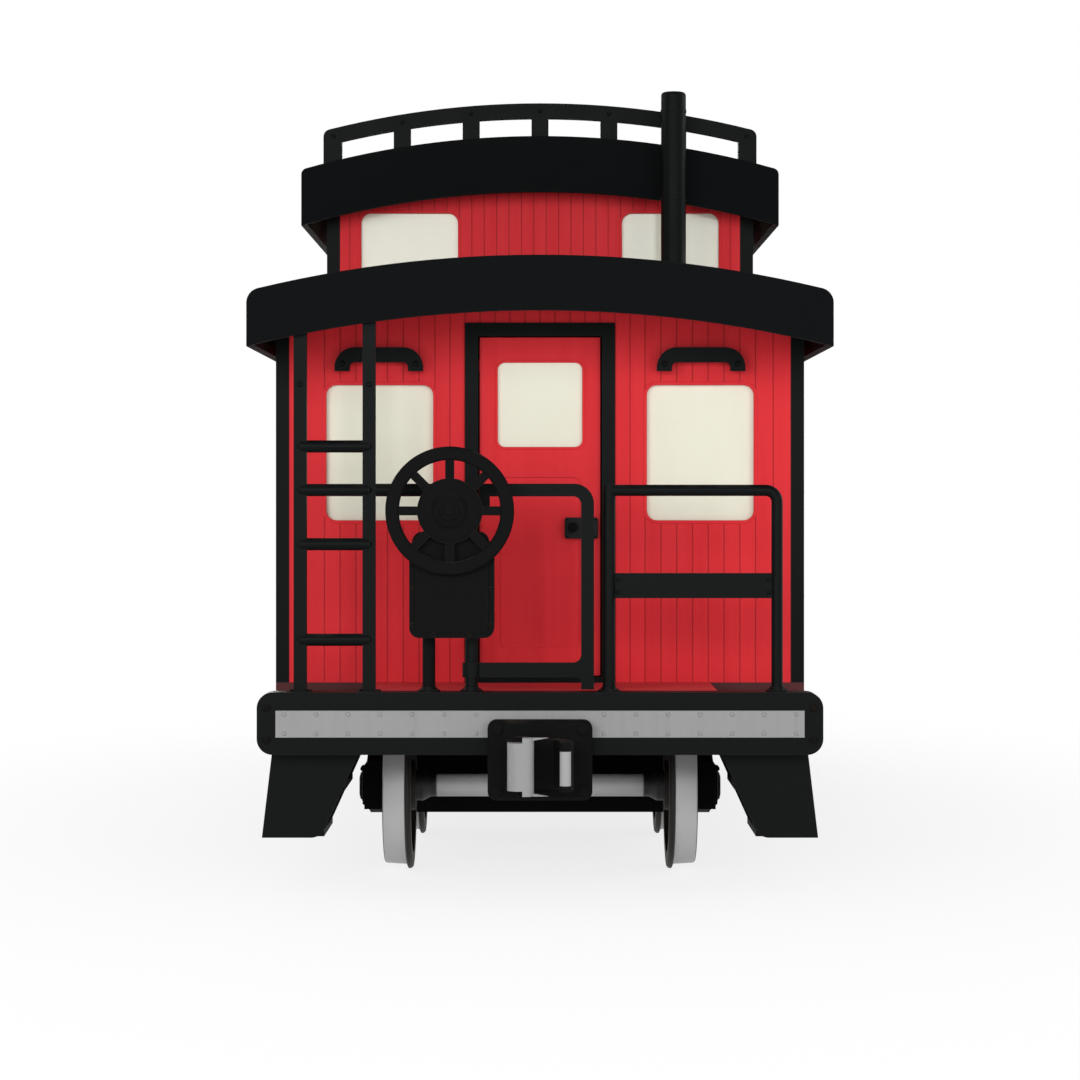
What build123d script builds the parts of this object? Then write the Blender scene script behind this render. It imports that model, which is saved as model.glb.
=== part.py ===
from build123d import *
from math import sqrt
import os

os.makedirs("parts", exist_ok=True)

# Caboose with a centre cupola and two open end platforms. Millimetres, +X across, +Y along, +Z up.
# The origin is on the ground plane under the wheel flanges, at the middle of the car.
# Both ends are alike: the front end (+Y) is the rear end (-Y) turned half round about Z.

# Fits
running_fit = 0.05
face_gap = 0.3
swing_gap = 6.0

# Wheels and axles
tread_radius = 419.0
flange_height = 25.0
flange_width = 35.0
flange_tip = 14.0
flange_shoulder = 10.0
rim_width = 150.0
rim_depth = 62.0
back_to_back = 1360.0
wheel_plate = 26.0
wheel_hub_radius = 130.0
wheel_hub_overhang = 12.0
tread_cone = 4.0
tread_chamfer = 8.0
axle_radius = 60.5
wheel_seat_radius = 82.0
journal_radius = 55.0
axle_z = tread_radius + flange_height
wheel_inner_x = back_to_back / 2
wheel_outer_x = wheel_inner_x + rim_width

# Trucks
truck_centre_y = 2712.0
wheelbase = 1676.0
side_frame_width = 90.0
side_frame_gap = 20.0
journal_box_half = 118.0
journal_box_height = 118.0
frame_rise = 246.0
frame_drop = 199.0
frame_bar = 62.0
bolster_half_y = 140.0
bolster_gap = 14.0
bolster_drop = 4.0
bolster_rise = 174.0
bolster_end_height = 128.0
bolster_belly = 56.0
centre_plate_radius = 165.0
centre_bowl_wall = 26.0
centre_bowl_depth = 26.0
side_bearer_x = 635.0
side_bearer_size = 110.0
side_bearer_rise = 46.0
spring_radius = 44.0
spring_wire = 18.0
spring_turns = 4
spring_pitch_y = 94.0
plank_half_y = 120.0
plank_thickness = 22.0
plank_lip = 62.0
journal_lid = 12.0
journal_end_gap = 4.0
brake_beam_depth = 116.0
brake_beam_thickness = 66.0
brake_beam_belly = 34.0
brake_beam_drop = 64.0
brake_head_length = 30.0
brake_hanger = 44.0
shoe_gap = 12.0
shoe_thickness = 38.0
shoe_width = 92.0
shoe_height = 250.0
side_frame_x = wheel_outer_x + side_frame_gap
side_frame_outer_x = side_frame_x + side_frame_width
frame_top_z = axle_z + frame_rise
frame_bottom_z = axle_z - frame_drop
bolster_bottom_z = axle_z - bolster_drop
bolster_top_z = axle_z + bolster_rise
side_bearer_face_z = bolster_top_z + side_bearer_rise

# Body
body_length = 7800.0
body_width = 2784.0
platform_depth = 800.0
wall = 70.0
deck_rise = 400.0
deck_thickness = 50.0
corner_post = 70.0
deck_z = bolster_top_z + deck_rise
deck_under_z = deck_z - deck_thickness
end_y = body_length / 2
sill_face_y = end_y + platform_depth
wall_x = body_width / 2
inner_x = wall_x - wall

# End sill and its light plate
end_sill_overhang = 25.0
end_sill_height = 313.0
end_sill_thickness = 140.0
end_sill_radius = 80.0
sill_plate_margin = 95.0
sill_plate_drop = 91.0
sill_plate_height = 134.0
sill_plate_thickness = 12.0
end_sill_half = wall_x + end_sill_overhang
sill_plate_half = end_sill_half - sill_plate_margin
end_sill_bottom_z = deck_z - end_sill_height
sill_back_y = sill_face_y - end_sill_thickness
sill_plate_top_z = deck_z - sill_plate_drop
sill_plate_bottom_z = sill_plate_top_z - sill_plate_height

# Couplers
coupler_drop = 336.0
striker_half = 261.0
striker_rise = 203.0
striker_drop = 197.0
striker_depth = 90.0
striker_radius = 45.0
shank_half_x = 65.0
shank_half_z = 68.0
shank_clearance = 14.0
head_half_z = 120.0
pin_x = -100.0
pin_out = 300.0
pin_radius = 21.0
ear_radius = 66.0
throat_depth = 46.0
knuckle_height = 284.0
knuckle_heel_height = 233.0
knuckle_heel_width = 74.0
knuckle_hub_height = 150.0
knuckle_hub_radius = 60.0
knuckle_nose = 450.0
knuckle_nose_depth = 62.0
knuckle_nose_taper = 16.0
knuckle_nose_bulge = 24.0
knuckle_lip = 75.0
knuckle_lip_depth = 26.0
knuckle_waist = 12.0
guard_x = 95.0
guard_width = 57.0
guard_out = 430.0
yoke_setback = 420.0
yoke_length = 210.0
coupler_z = deck_z - coupler_drop
striker_top_z = coupler_z + striker_rise
striker_bottom_z = coupler_z - striker_drop

# Underframe
sill_web_inner = 140.0
sill_flange_half = 250.0
sill_plating = 24.0
draft_sill_drop = 122.0
draft_sill_length = 1180.0
main_sill_depth = 248.0
side_sill_depth = 250.0
side_sill_flange = 80.0
side_sill_web = 20.0
body_bolster_half_y = 150.0
body_bolster_end_depth = 100.0
cross_bearer_width = 100.0
cross_bearer_depth = 200.0
cross_bearer_y = (-1000.0, 0.0, 1000.0)
end_beam_width = 80.0
end_beam_depth = 100.0
draft_sill_bottom_z = coupler_z - draft_sill_drop
main_sill_bottom_z = deck_under_z - main_sill_depth

# Main roof
roof_eave = 77.0
roof_crown_rise = 2189.0
roof_drop = 181.0
roof_shell = 90.0
roof_fascia_depth = 277.0
fascia = 35.0
roof_top_radius = 75.0
roof_bottom_radius = 50.0
roof_half = wall_x + roof_eave
roof_crown_z = deck_z + roof_crown_rise
roof_half_y = sill_face_y

# Cupola
cupola_length = 2400.0
cupola_inset = 75.0
cupola_wall = 60.0
cupola_post = 80.0
cupola_eave = 139.0
cupola_roof_overhang = 250.0
cupola_rise = 993.0
cupola_drop = 205.0
cupola_shell = 80.0
cupola_fascia_depth = 341.0
cupola_top_radius = 40.0
cupola_bottom_radius = 30.0
cupola_y = cupola_length / 2
cupola_x = wall_x - cupola_inset
cupola_roof_half = cupola_x + cupola_eave
cupola_crown_z = roof_crown_z + cupola_rise
cupola_roof_y = cupola_y + cupola_roof_overhang

# Windows
window_width = 564.0
window_height = 713.0
window_rise = 855.0
window_radius = 53.0
end_window_x = 845.0
side_windows = 4
side_window_pitch = 1900.0
cupola_window_width = 598.0
cupola_window_height = 452.0
cupola_window_rise = 93.0
cupola_window_radius = 60.0
cupola_window_x = 806.0
cupola_side_window_y = 590.0
cupola_side_window_width = 760.0
glass = 12.0
window_mid_z = deck_z + window_rise + window_height / 2
cupola_window_mid_z = roof_crown_z + cupola_window_rise + cupola_window_height / 2
end_window_places = (-end_window_x, end_window_x)
side_window_places = [(index - (side_windows - 1) / 2) * side_window_pitch for index in range(side_windows)]

# Doors
door_frame_half = 395.0
door_headroom = 294.0
door_jamb = 69.0
door_head = 70.0
door_sill_height = 30.0
door_frame_proud = 14.0
door_leaf = 45.0
door_gap = 8.0
door_window_width = 446.0
door_window_height = 445.0
door_window_drop = 208.0
door_window_radius = 37.0
door_panel_inset = 10.0
door_panel_margin = 105.0
door_panel_rise = 182.0
door_lock_rail = 160.0
hinge_pin_radius = 7.0
hinge_barrel_radius = 14.0
hinge_length = 120.0
hinge_rise = 282.0
hinge_drop = 253.0
lock_width = 176.0
lock_height = 112.0
lock_depth = 26.0
lock_rise = 814.0
lock_edge_gap = 12.0
lock_radius = 12.0
knob_radius = 27.0
door_frame_top_z = roof_crown_z - door_headroom
door_opening_half = door_frame_half - door_jamb
door_opening_top_z = door_frame_top_z - door_head
door_window_mid_z = door_frame_top_z - door_window_drop - door_window_height / 2
door_panel_bottom_z = deck_z + door_panel_rise
door_panel_top_z = door_window_mid_z - door_window_height / 2 - door_lock_rail
low_hinge_z = deck_z + hinge_rise
top_hinge_z = door_frame_top_z - hinge_drop
hinge_z = (low_hinge_z, (low_hinge_z + top_hinge_z) / 2, top_hinge_z)
lock_z = deck_z + lock_rise

# Platform ends: railings, gate and ladder
post_radius = 32.0
railing_height = 1044.0
hinge_post_x = -344.0
gate_post_x = 239.0
right_post_x = 347.0
corner_post_inset = 226.0
right_rail_radius = 28.5
right_rail_drop = 5.0
mid_band_rise = 532.0
mid_band_height = 126.0
mid_band_thickness = 22.0
gate_rise = 109.0
gate_bottom_height = 72.0
gate_thickness = 44.0
gate_corner_outer = 100.0
gate_corner_inner = 40.0
gate_floor_gap = 12.0
collar_wall = 14.0
ladder_inset = 213.0
ladder_width = 346.0
stile_width = 65.0
stile_depth = 40.0
rung_radius = 31.0
rung_rises = (260.0, 740.0, 1231.0)
rail_y = sill_face_y - end_sill_thickness / 2
railing_top_z = deck_z + railing_height
left_rail_z = railing_top_z - post_radius
corner_post_x = end_sill_half - corner_post_inset
right_rail_z = railing_top_z - right_rail_drop - right_rail_radius
mid_band_z = deck_z + mid_band_rise
gate_bottom_z = deck_z + gate_rise
outer_stile_x = ladder_inset - end_sill_half
inner_stile_x = outer_stile_x + ladder_width
rung_z = [left_rail_z, *[deck_z + rise for rise in rung_rises]]

# Hand brake
brake_x = -448.0
brake_rise = 908.0
brake_wheel_radius = 320.0
brake_rim_width = 68.0
brake_rim_depth = 44.0
brake_hub_radius = 162.0
brake_hub_depth = 30.0
brake_spokes = 8
spoke_width = 46.0
spoke_root_width = 42.0
spoke_depth = 22.0
brake_shaft_radius = 30.0
housing_left = 203.0
housing_right = 220.0
housing_bottom_drop = 633.0
housing_shoulder_drop = 238.0
housing_top_drop = 104.0
housing_neck_half = 180.0
housing_depth = 140.0
housing_neck_radius = 110.0
housing_radius = 50.0
housing_cover_margin = 34.0
housing_cover_depth = 12.0
stand_post_offset = 110.0
brake_axis_z = deck_z + brake_rise
housing_bottom_z = brake_axis_z - housing_bottom_drop
housing_shoulder_z = brake_axis_z - housing_shoulder_drop
housing_top_z = brake_axis_z - housing_top_drop

# Grab handles over the end windows
handle_half = 232.0
handle_rise = 70.0
handle_height = 125.0
handle_bar = 79.0
handle_bar_depth = 34.0
handle_stand_off = 55.0
handle_foot_radius = 26.0
handle_outer_radius = 105.0
handle_inner_radius = 26.0
handle_bottom_z = window_mid_z + window_height / 2 + handle_rise
handle_top_z = handle_bottom_z + handle_height

# Side steps
step_inset = 64.0
step_lean = 51.0
step_width = 458.0
step_drop = 430.0
step_bend = 36.0
step_bend_drop = 40.0
step_toe = 189.0
step_toe_rise = 52.0
step_radius = 75.0
stringer = 20.0
tread_thickness = 32.0
tread_drops = (233.0, 473.0, 706.0)
step_outer_top_x = end_sill_half - step_inset
step_outer_bottom_x = step_outer_top_x + step_lean
step_inner_top_x = step_outer_top_x - step_width
step_inner_bend_x = step_inner_top_x + step_bend
step_inner_toe_x = step_inner_top_x + step_toe
step_bottom_z = end_sill_bottom_z - step_drop
step_inner_bend_z = end_sill_bottom_z - step_bend_drop
step_inner_toe_z = step_bottom_z + step_toe_rise

# Stovepipe
pipe_x = 807.0
pipe_y = -1600.0
pipe_radius = 75.5
pipe_rise = 245.0
pipe_collar_radius = 104.0
pipe_collar_height = 60.0
pipe_cap_radius = 22.0
pipe_top_z = cupola_crown_z + pipe_rise

# Rails over the ends of the cupola roof
roof_rail_inset = 50.0
roof_rail_depth = 60.0
roof_rail_bar = 92.0
roof_rail_rise = 202.0
roof_rail_end = 134.0
roof_rail_lap = 8.5
roof_rail_posts = 7
roof_rail_post_width = 104.0
roof_rail_radius = 46.0
roof_rail_y = cupola_roof_y - roof_rail_inset
roof_rail_half = cupola_roof_half - roof_rail_end
roof_rail_reach = 2 * (roof_rail_half - roof_rail_lap) - roof_rail_post_width
roof_rail_pitch = roof_rail_reach / (roof_rail_posts - 1)

# Air brake gear under the floor
reservoir_radius = 190.0
reservoir_length = 800.0
reservoir_inset = 542.0
cylinder_radius = 160.0
cylinder_length = 520.0
cylinder_inset = 572.0
gear_drop = 248.0
gear_y = 500.0
hanger = 40.0
reservoir_x = reservoir_inset - wall_x
cylinder_x = wall_x - cylinder_inset
gear_z = deck_under_z - gear_drop


def save(shape, label):
    """Write one finished piece under its own name."""
    shape.label = label
    export_step(shape, f"parts/{label}.step")


def half_turn(shape):
    """The same piece at the other end of the car."""
    return shape.rotate(Axis.Z, 180)


def save_ends(shape, label):
    """Write a rear-end piece, and the same piece turned to the front end."""
    save(shape, f"{label}_rear")
    save(half_turn(shape), f"{label}_front")


def save_pair(shape, label):
    """Write a rear-end piece and its front-end twin as one node."""
    save(Compound(label=label, children=[*shape.solids(), *half_turn(shape).solids()]), label)


def crown_radius(half, drop):
    """Radius of the arc that falls by drop from its crown to half."""
    return (half**2 + drop**2) / (2 * drop)


def arc_z(x, crown_z, half, drop):
    """Height of a roof arc at x."""
    radius = crown_radius(half, drop)
    return crown_z - radius + sqrt(radius**2 - x**2)


def roof_top_z(x):
    """Height of the main roof's upper face at x."""
    return arc_z(x, roof_crown_z, roof_half, roof_drop)


def roof_under_z(x):
    """Height of the main roof shell's lower face at x."""
    return roof_top_z(x) - roof_shell


def cupola_top_z(x):
    """Height of the cupola roof's upper face at x."""
    return arc_z(x, cupola_crown_z, cupola_roof_half, cupola_drop)


def cupola_under_z(x):
    """Height of the cupola roof shell's lower face at x."""
    return cupola_top_z(x) - cupola_shell


def arc_band(x_half, top, bottom):
    """Profile across the car between two height rules, each followed as one arc."""
    with BuildSketch(Plane.XZ) as band:
        with BuildLine():
            ThreePointArc((-x_half, top(x_half)), (0, top(0)), (x_half, top(x_half)))
            Line((x_half, top(x_half)), (x_half, bottom(x_half)))
            ThreePointArc((x_half, bottom(x_half)), (0, bottom(0)), (-x_half, bottom(x_half)))
            Line((-x_half, bottom(x_half)), (-x_half, top(x_half)))
        make_face()
    return band.sketch_local


def wall_face(x_half, top, foot_z):
    """Profile across the car with a flat foot and an arched top."""
    with BuildSketch(Plane.XZ) as face:
        with BuildLine():
            ThreePointArc((-x_half, top(x_half)), (0, top(0)), (x_half, top(x_half)))
            Polyline((x_half, top(x_half)), (x_half, foot_z), (-x_half, foot_z), (-x_half, top(x_half)))
        make_face()
    return face.sketch_local


# Centre sills: two channels back to back, deeper where the draft gear hangs between them
draft_y = sill_back_y - draft_sill_length
taper_y = draft_y - (main_sill_bottom_z - draft_sill_bottom_z)
sill_outline = [
    (-sill_back_y, deck_under_z),
    (-sill_back_y, draft_sill_bottom_z),
    (-draft_y, draft_sill_bottom_z),
    (-taper_y, main_sill_bottom_z),
    (taper_y, main_sill_bottom_z),
    (draft_y, draft_sill_bottom_z),
    (sill_back_y, draft_sill_bottom_z),
    (sill_back_y, deck_under_z),
]
with BuildPart() as centre_sills:
    with BuildSketch(Plane.YZ.offset(sill_web_inner)):
        Polygon(*sill_outline, align=None)
    extrude(amount=sill_flange_half - sill_web_inner)
    with BuildSketch(Plane.YZ.offset(sill_web_inner + sill_plating)):
        Polygon(*sill_outline, align=None)
        offset(amount=-sill_plating)
    extrude(amount=sill_flange_half - sill_web_inner - sill_plating, mode=Mode.SUBTRACT)
    mirror(about=Plane.YZ)
save(centre_sills.part, "centre_sills")

# Side sills: channels under the side walls, open towards the middle
with BuildPart() as side_sills:
    with BuildSketch(Plane.XZ):
        with Locations((wall_x, deck_under_z)):
            Rectangle(side_sill_flange, side_sill_depth, align=(Align.MAX, Align.MAX))
        with Locations((wall_x - side_sill_web, deck_under_z - side_sill_web)):
            Rectangle(
                side_sill_flange,
                side_sill_depth - 2 * side_sill_web,
                align=(Align.MAX, Align.MAX),
                mode=Mode.SUBTRACT,
            )
        mirror(about=Plane.YZ)
    extrude(amount=end_y, both=True)
save(side_sills.part, "side_sills")

# Body bolsters: tapered wings and a filler between the sills, with the centre plate and side bearers
bolster_foot_z = main_sill_bottom_z - sill_plating
plate_bottom_z = bolster_top_z + face_gap
with BuildPart() as body_bolster:
    with BuildSketch(Plane.XZ.offset(truck_centre_y)):
        with BuildLine():
            Polyline(
                (0, deck_under_z),
                (wall_x - side_sill_web, deck_under_z),
                (wall_x - side_sill_web, deck_under_z - body_bolster_end_depth),
                (sill_flange_half + sill_plating, bolster_foot_z),
                (0, bolster_foot_z),
                close=True,
            )
        make_face()
        mirror(about=Plane.YZ)
    extrude(amount=body_bolster_half_y, both=True)
    with Locations((0, -truck_centre_y, plate_bottom_z)):
        Cylinder(
            centre_plate_radius,
            bolster_foot_z - plate_bottom_z,
            align=(Align.CENTER, Align.CENTER, Align.MIN),
        )
    for side in (-1, 1):
        with Locations((side * side_bearer_x, -truck_centre_y, side_bearer_face_z)):
            Box(
                side_bearer_size,
                side_bearer_size,
                deck_under_z - side_bearer_face_z,
                align=(Align.CENTER, Align.CENTER, Align.MIN),
            )
    add([centre_sills.part, side_sills.part], mode=Mode.SUBTRACT)
save_pair(body_bolster.part, "body_bolsters")

# Cross members: bearers at mid car and a beam at each end of the cabin floor
with BuildPart() as cross_members:
    for y in cross_bearer_y:
        with BuildSketch(Plane.XZ.offset(-y)):
            with BuildLine():
                Polyline(
                    (sill_web_inner, deck_under_z),
                    (wall_x - side_sill_web, deck_under_z),
                    (wall_x - side_sill_web, deck_under_z - cross_bearer_depth / 2),
                    (sill_flange_half, deck_under_z - cross_bearer_depth),
                    (sill_web_inner, deck_under_z - cross_bearer_depth),
                    close=True,
                )
            make_face()
        extrude(amount=cross_bearer_width / 2, both=True)
    for y in (-end_y + end_beam_width / 2, end_y - end_beam_width / 2):
        with Locations((sill_web_inner, y, deck_under_z)):
            Box(
                wall_x - sill_web_inner,
                end_beam_width,
                end_beam_depth,
                align=(Align.MIN, Align.CENTER, Align.MAX),
            )
    mirror(about=Plane.YZ)
    add([centre_sills.part, side_sills.part], mode=Mode.SUBTRACT)
save(cross_members.part, "cross_members")

# Floor: cabin floor with the two platforms between the step wells
with BuildPart() as floor:
    with BuildSketch(Plane.XY.offset(deck_under_z)):
        Rectangle(body_width, body_length)
        Rectangle(2 * step_inner_top_x, 2 * sill_back_y)
    extrude(amount=deck_thickness)
save(floor.part, "floor")

# End sills: rounded beams with a notch over the coupler shank
with BuildPart() as end_sill:
    with BuildSketch(Plane.XZ.offset(sill_back_y)):
        with Locations((0, (deck_z + end_sill_bottom_z) / 2)):
            RectangleRounded(2 * end_sill_half, deck_z - end_sill_bottom_z, end_sill_radius)
        with Locations((0, end_sill_bottom_z)):
            Rectangle(
                2 * (shank_half_x + shank_clearance),
                2 * (coupler_z + shank_half_z + shank_clearance - end_sill_bottom_z),
                mode=Mode.SUBTRACT,
            )
    extrude(amount=end_sill_thickness)
save_pair(end_sill.part, "end_sills")

# Light plates on the end sills, cut round the strikers
with BuildPart() as sill_plate:
    with BuildSketch(Plane.XZ.offset(sill_face_y)):
        with Locations((0, (sill_plate_top_z + sill_plate_bottom_z) / 2)):
            Rectangle(2 * sill_plate_half, sill_plate_top_z - sill_plate_bottom_z)
        with Locations((0, (striker_top_z + striker_bottom_z) / 2)):
            RectangleRounded(
                2 * striker_half, striker_top_z - striker_bottom_z, striker_radius, mode=Mode.SUBTRACT
            )
    extrude(amount=sill_plate_thickness)
save_pair(sill_plate.part, "sill_plates")

# Side walls with rounded window openings, topped by the roof's slope
side_wall_y = end_y - corner_post
with BuildPart() as side_walls:
    with BuildSketch(Plane.XZ):
        with BuildLine():
            Polyline(
                (inner_x, deck_z),
                (wall_x, deck_z),
                (wall_x, roof_under_z(wall_x)),
                (inner_x, roof_under_z(inner_x)),
                close=True,
            )
        make_face()
        mirror(about=Plane.YZ)
    extrude(amount=side_wall_y, both=True)
    with BuildSketch(Plane.YZ):
        with Locations(*[(y, window_mid_z) for y in side_window_places]):
            RectangleRounded(window_width, window_height, window_radius)
    extrude(amount=wall_x, both=True, mode=Mode.SUBTRACT)
save(side_walls.part, "side_walls")

# End walls with the doorway and two windows
with BuildPart() as end_wall:
    with BuildSketch(Plane.XZ.offset(end_y - wall)):
        add(wall_face(inner_x, roof_under_z, deck_z))
        with Locations((0, (door_frame_top_z + deck_z) / 2)):
            Rectangle(2 * door_frame_half, door_frame_top_z - deck_z, mode=Mode.SUBTRACT)
        with Locations(*[(x, window_mid_z) for x in end_window_places]):
            RectangleRounded(window_width, window_height, window_radius, mode=Mode.SUBTRACT)
    extrude(amount=wall)
save_pair(end_wall.part, "end_walls")

# Corner posts of the body
with BuildPart() as corner_posts:
    with BuildSketch(Plane.XZ):
        with BuildLine():
            Polyline(
                (inner_x, deck_z),
                (wall_x, deck_z),
                (wall_x, roof_under_z(wall_x)),
                (inner_x, roof_under_z(inner_x)),
                close=True,
            )
        make_face()
        mirror(about=Plane.YZ)
    extrude(amount=end_y, both=True)
    Box(2 * body_width, 2 * side_wall_y, 2 * roof_crown_z, mode=Mode.SUBTRACT)
save(corner_posts.part, "corner_posts")

# Door frames standing slightly proud of the wall, with the lower hinge barrels and their pins
leaf_inner_y = end_y - wall
hinge_x = -(door_opening_half - door_gap / 2)
hinge_y = leaf_inner_y - hinge_barrel_radius - face_gap
with BuildPart() as door_frame:
    with BuildSketch(Plane.XZ.offset(end_y - wall)):
        with Locations((0, (door_frame_top_z + deck_z) / 2)):
            Rectangle(2 * door_frame_half, door_frame_top_z - deck_z)
        with Locations((0, (door_opening_top_z + deck_z + door_sill_height) / 2)):
            Rectangle(
                2 * door_opening_half, door_opening_top_z - deck_z - door_sill_height, mode=Mode.SUBTRACT
            )
    extrude(amount=wall + door_frame_proud)
    for z in hinge_z:
        with Locations((hinge_x, -hinge_y, z)):
            Cylinder(hinge_barrel_radius, hinge_length / 2, align=(Align.CENTER, Align.CENTER, Align.MAX))
            Box(
                hinge_length / 2,
                hinge_barrel_radius + face_gap,
                hinge_length / 2,
                align=(Align.MAX, Align.MAX, Align.MAX),
            )
            Cylinder(
                hinge_pin_radius, hinge_length / 2, align=(Align.CENTER, Align.CENTER, Align.MIN)
            )
save_pair(door_frame.part, "door_frames")

# Window glass of the body, seated in the middle of each wall
with BuildPart() as body_glass:
    with BuildSketch(Plane.YZ.offset(wall_x - wall / 2)):
        with Locations(*[(y, window_mid_z) for y in side_window_places]):
            RectangleRounded(window_width, window_height, window_radius)
    extrude(amount=glass / 2, both=True)
    mirror(about=Plane.YZ)
    for wall_mid_y in (-end_y + wall / 2, end_y - wall / 2):
        with BuildSketch(Plane.XZ.offset(-wall_mid_y)):
            with Locations(*[(x, window_mid_z) for x in end_window_places]):
                RectangleRounded(window_width, window_height, window_radius)
        extrude(amount=glass / 2, both=True)
save(body_glass.part, "body_glass")

# Main roof: an arched shell with a deep fascia all round and the cupola's well
with BuildPart() as main_roof:
    with BuildSketch(Plane.XZ) as roof_outline:
        add(arc_band(roof_half, roof_top_z, lambda x: roof_top_z(x) - roof_fascia_depth))
        upper = roof_outline.vertices().sort_by(Axis.Y)[-2:]
        lower = roof_outline.vertices().sort_by(Axis.Y)[:2]
        fillet(upper, roof_top_radius)
        fillet(lower, roof_bottom_radius)
    extrude(amount=roof_half_y, both=True)
    with BuildSketch(Plane.XZ):
        add(arc_band(roof_half - fascia, roof_under_z, lambda x: roof_top_z(x) - 2 * roof_fascia_depth))
    extrude(amount=roof_half_y - fascia, both=True, mode=Mode.SUBTRACT)
    Box(
        2 * (cupola_x - cupola_wall),
        2 * (cupola_y - cupola_wall),
        3 * roof_crown_z,
        mode=Mode.SUBTRACT,
    )
save(main_roof.part, "main_roof")

# Cupola: side walls, end walls and corner posts standing on the main roof
def cupola_band(half_x):
    """Profile across the car between the main roof's top and the cupola roof's underside."""
    return arc_band(half_x, cupola_under_z, roof_top_z)


post_x = cupola_x - cupola_post
post_y = cupola_y - cupola_post
with BuildPart() as cupola_walls:
    with BuildSketch(Plane.XZ):
        add(cupola_band(cupola_x))
        Rectangle(2 * (cupola_x - cupola_wall), 4 * cupola_crown_z, mode=Mode.SUBTRACT)
    extrude(amount=post_y, both=True)
    with BuildSketch(Plane.YZ):
        with Locations(*[(y, cupola_window_mid_z) for y in (-cupola_side_window_y, cupola_side_window_y)]):
            RectangleRounded(cupola_side_window_width, cupola_window_height, cupola_window_radius)
    extrude(amount=cupola_x, both=True, mode=Mode.SUBTRACT)
    for face_y in (cupola_y, cupola_wall - cupola_y):
        with BuildSketch(Plane.XZ.offset(-face_y)):
            add(cupola_band(post_x))
            with Locations(*[(x, cupola_window_mid_z) for x in (-cupola_window_x, cupola_window_x)]):
                RectangleRounded(
                    cupola_window_width, cupola_window_height, cupola_window_radius, mode=Mode.SUBTRACT
                )
        extrude(amount=cupola_wall)
save(cupola_walls.part, "cupola_walls")

with BuildPart() as cupola_posts:
    with BuildSketch(Plane.XZ):
        add(cupola_band(cupola_x))
        Rectangle(2 * post_x, 4 * cupola_crown_z, mode=Mode.SUBTRACT)
    extrude(amount=cupola_y, both=True)
    Box(4 * cupola_x, 2 * post_y, 3 * cupola_crown_z, mode=Mode.SUBTRACT)
save(cupola_posts.part, "cupola_posts")

with BuildPart() as cupola_glass:
    with BuildSketch(Plane.YZ.offset(cupola_x - cupola_wall / 2)):
        with Locations(*[(y, cupola_window_mid_z) for y in (-cupola_side_window_y, cupola_side_window_y)]):
            RectangleRounded(cupola_side_window_width, cupola_window_height, cupola_window_radius)
    extrude(amount=glass / 2, both=True)
    with BuildSketch(Plane.XZ.offset(cupola_y - cupola_wall / 2)):
        with Locations(*[(x, cupola_window_mid_z) for x in (-cupola_window_x, cupola_window_x)]):
            RectangleRounded(cupola_window_width, cupola_window_height, cupola_window_radius)
    extrude(amount=glass / 2, both=True)
    mirror(about=Plane.YZ)
    mirror(about=Plane.XZ)
save(cupola_glass.part, "cupola_glass")

# Cupola roof: a smaller arched shell with its own fascia
with BuildPart() as cupola_roof:
    with BuildSketch(Plane.XZ) as cupola_outline:
        add(arc_band(cupola_roof_half, cupola_top_z, lambda x: cupola_top_z(x) - cupola_fascia_depth))
        upper = cupola_outline.vertices().sort_by(Axis.Y)[-2:]
        lower = cupola_outline.vertices().sort_by(Axis.Y)[:2]
        fillet(upper, cupola_top_radius)
        fillet(lower, cupola_bottom_radius)
    extrude(amount=cupola_roof_y, both=True)
    with BuildSketch(Plane.XZ):
        add(arc_band(
            cupola_roof_half - fascia,
            cupola_under_z,
            lambda x: cupola_top_z(x) - 2 * cupola_fascia_depth,
        ))
    extrude(amount=cupola_roof_y - fascia, both=True, mode=Mode.SUBTRACT)
save(cupola_roof.part, "cupola_roof")

# Rails over the cupola roof ends: a curved bar on seven short posts
def rail_top_z(x):
    """Height of a roof rail's upper face at x."""
    return cupola_top_z(x) + roof_rail_rise


def rail_under_z(x):
    """Height of a roof rail bar's lower face at x."""
    return rail_top_z(x) - roof_rail_bar


with BuildPart() as roof_rail:
    with BuildSketch(Plane.XZ.offset(roof_rail_y - roof_rail_depth / 2)) as rail_outline:
        add(arc_band(roof_rail_half, rail_top_z, rail_under_z))
        fillet(rail_outline.vertices().sort_by(Axis.Y)[-2:], roof_rail_radius)
    extrude(amount=roof_rail_depth)
    with BuildSketch(Plane.XZ.offset(roof_rail_y - roof_rail_depth / 2)):
        add(arc_band(roof_rail_half, rail_under_z, cupola_top_z))
        for index in range(roof_rail_posts - 1):
            gap_centre = (index - (roof_rail_posts - 2) / 2) * roof_rail_pitch
            with Locations((gap_centre, cupola_crown_z)):
                Rectangle(
                    roof_rail_pitch - roof_rail_post_width,
                    2 * (cupola_drop + roof_rail_rise),
                    mode=Mode.SUBTRACT,
                )
    extrude(amount=roof_rail_depth)
save_pair(roof_rail.part, "roof_rails")

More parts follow.
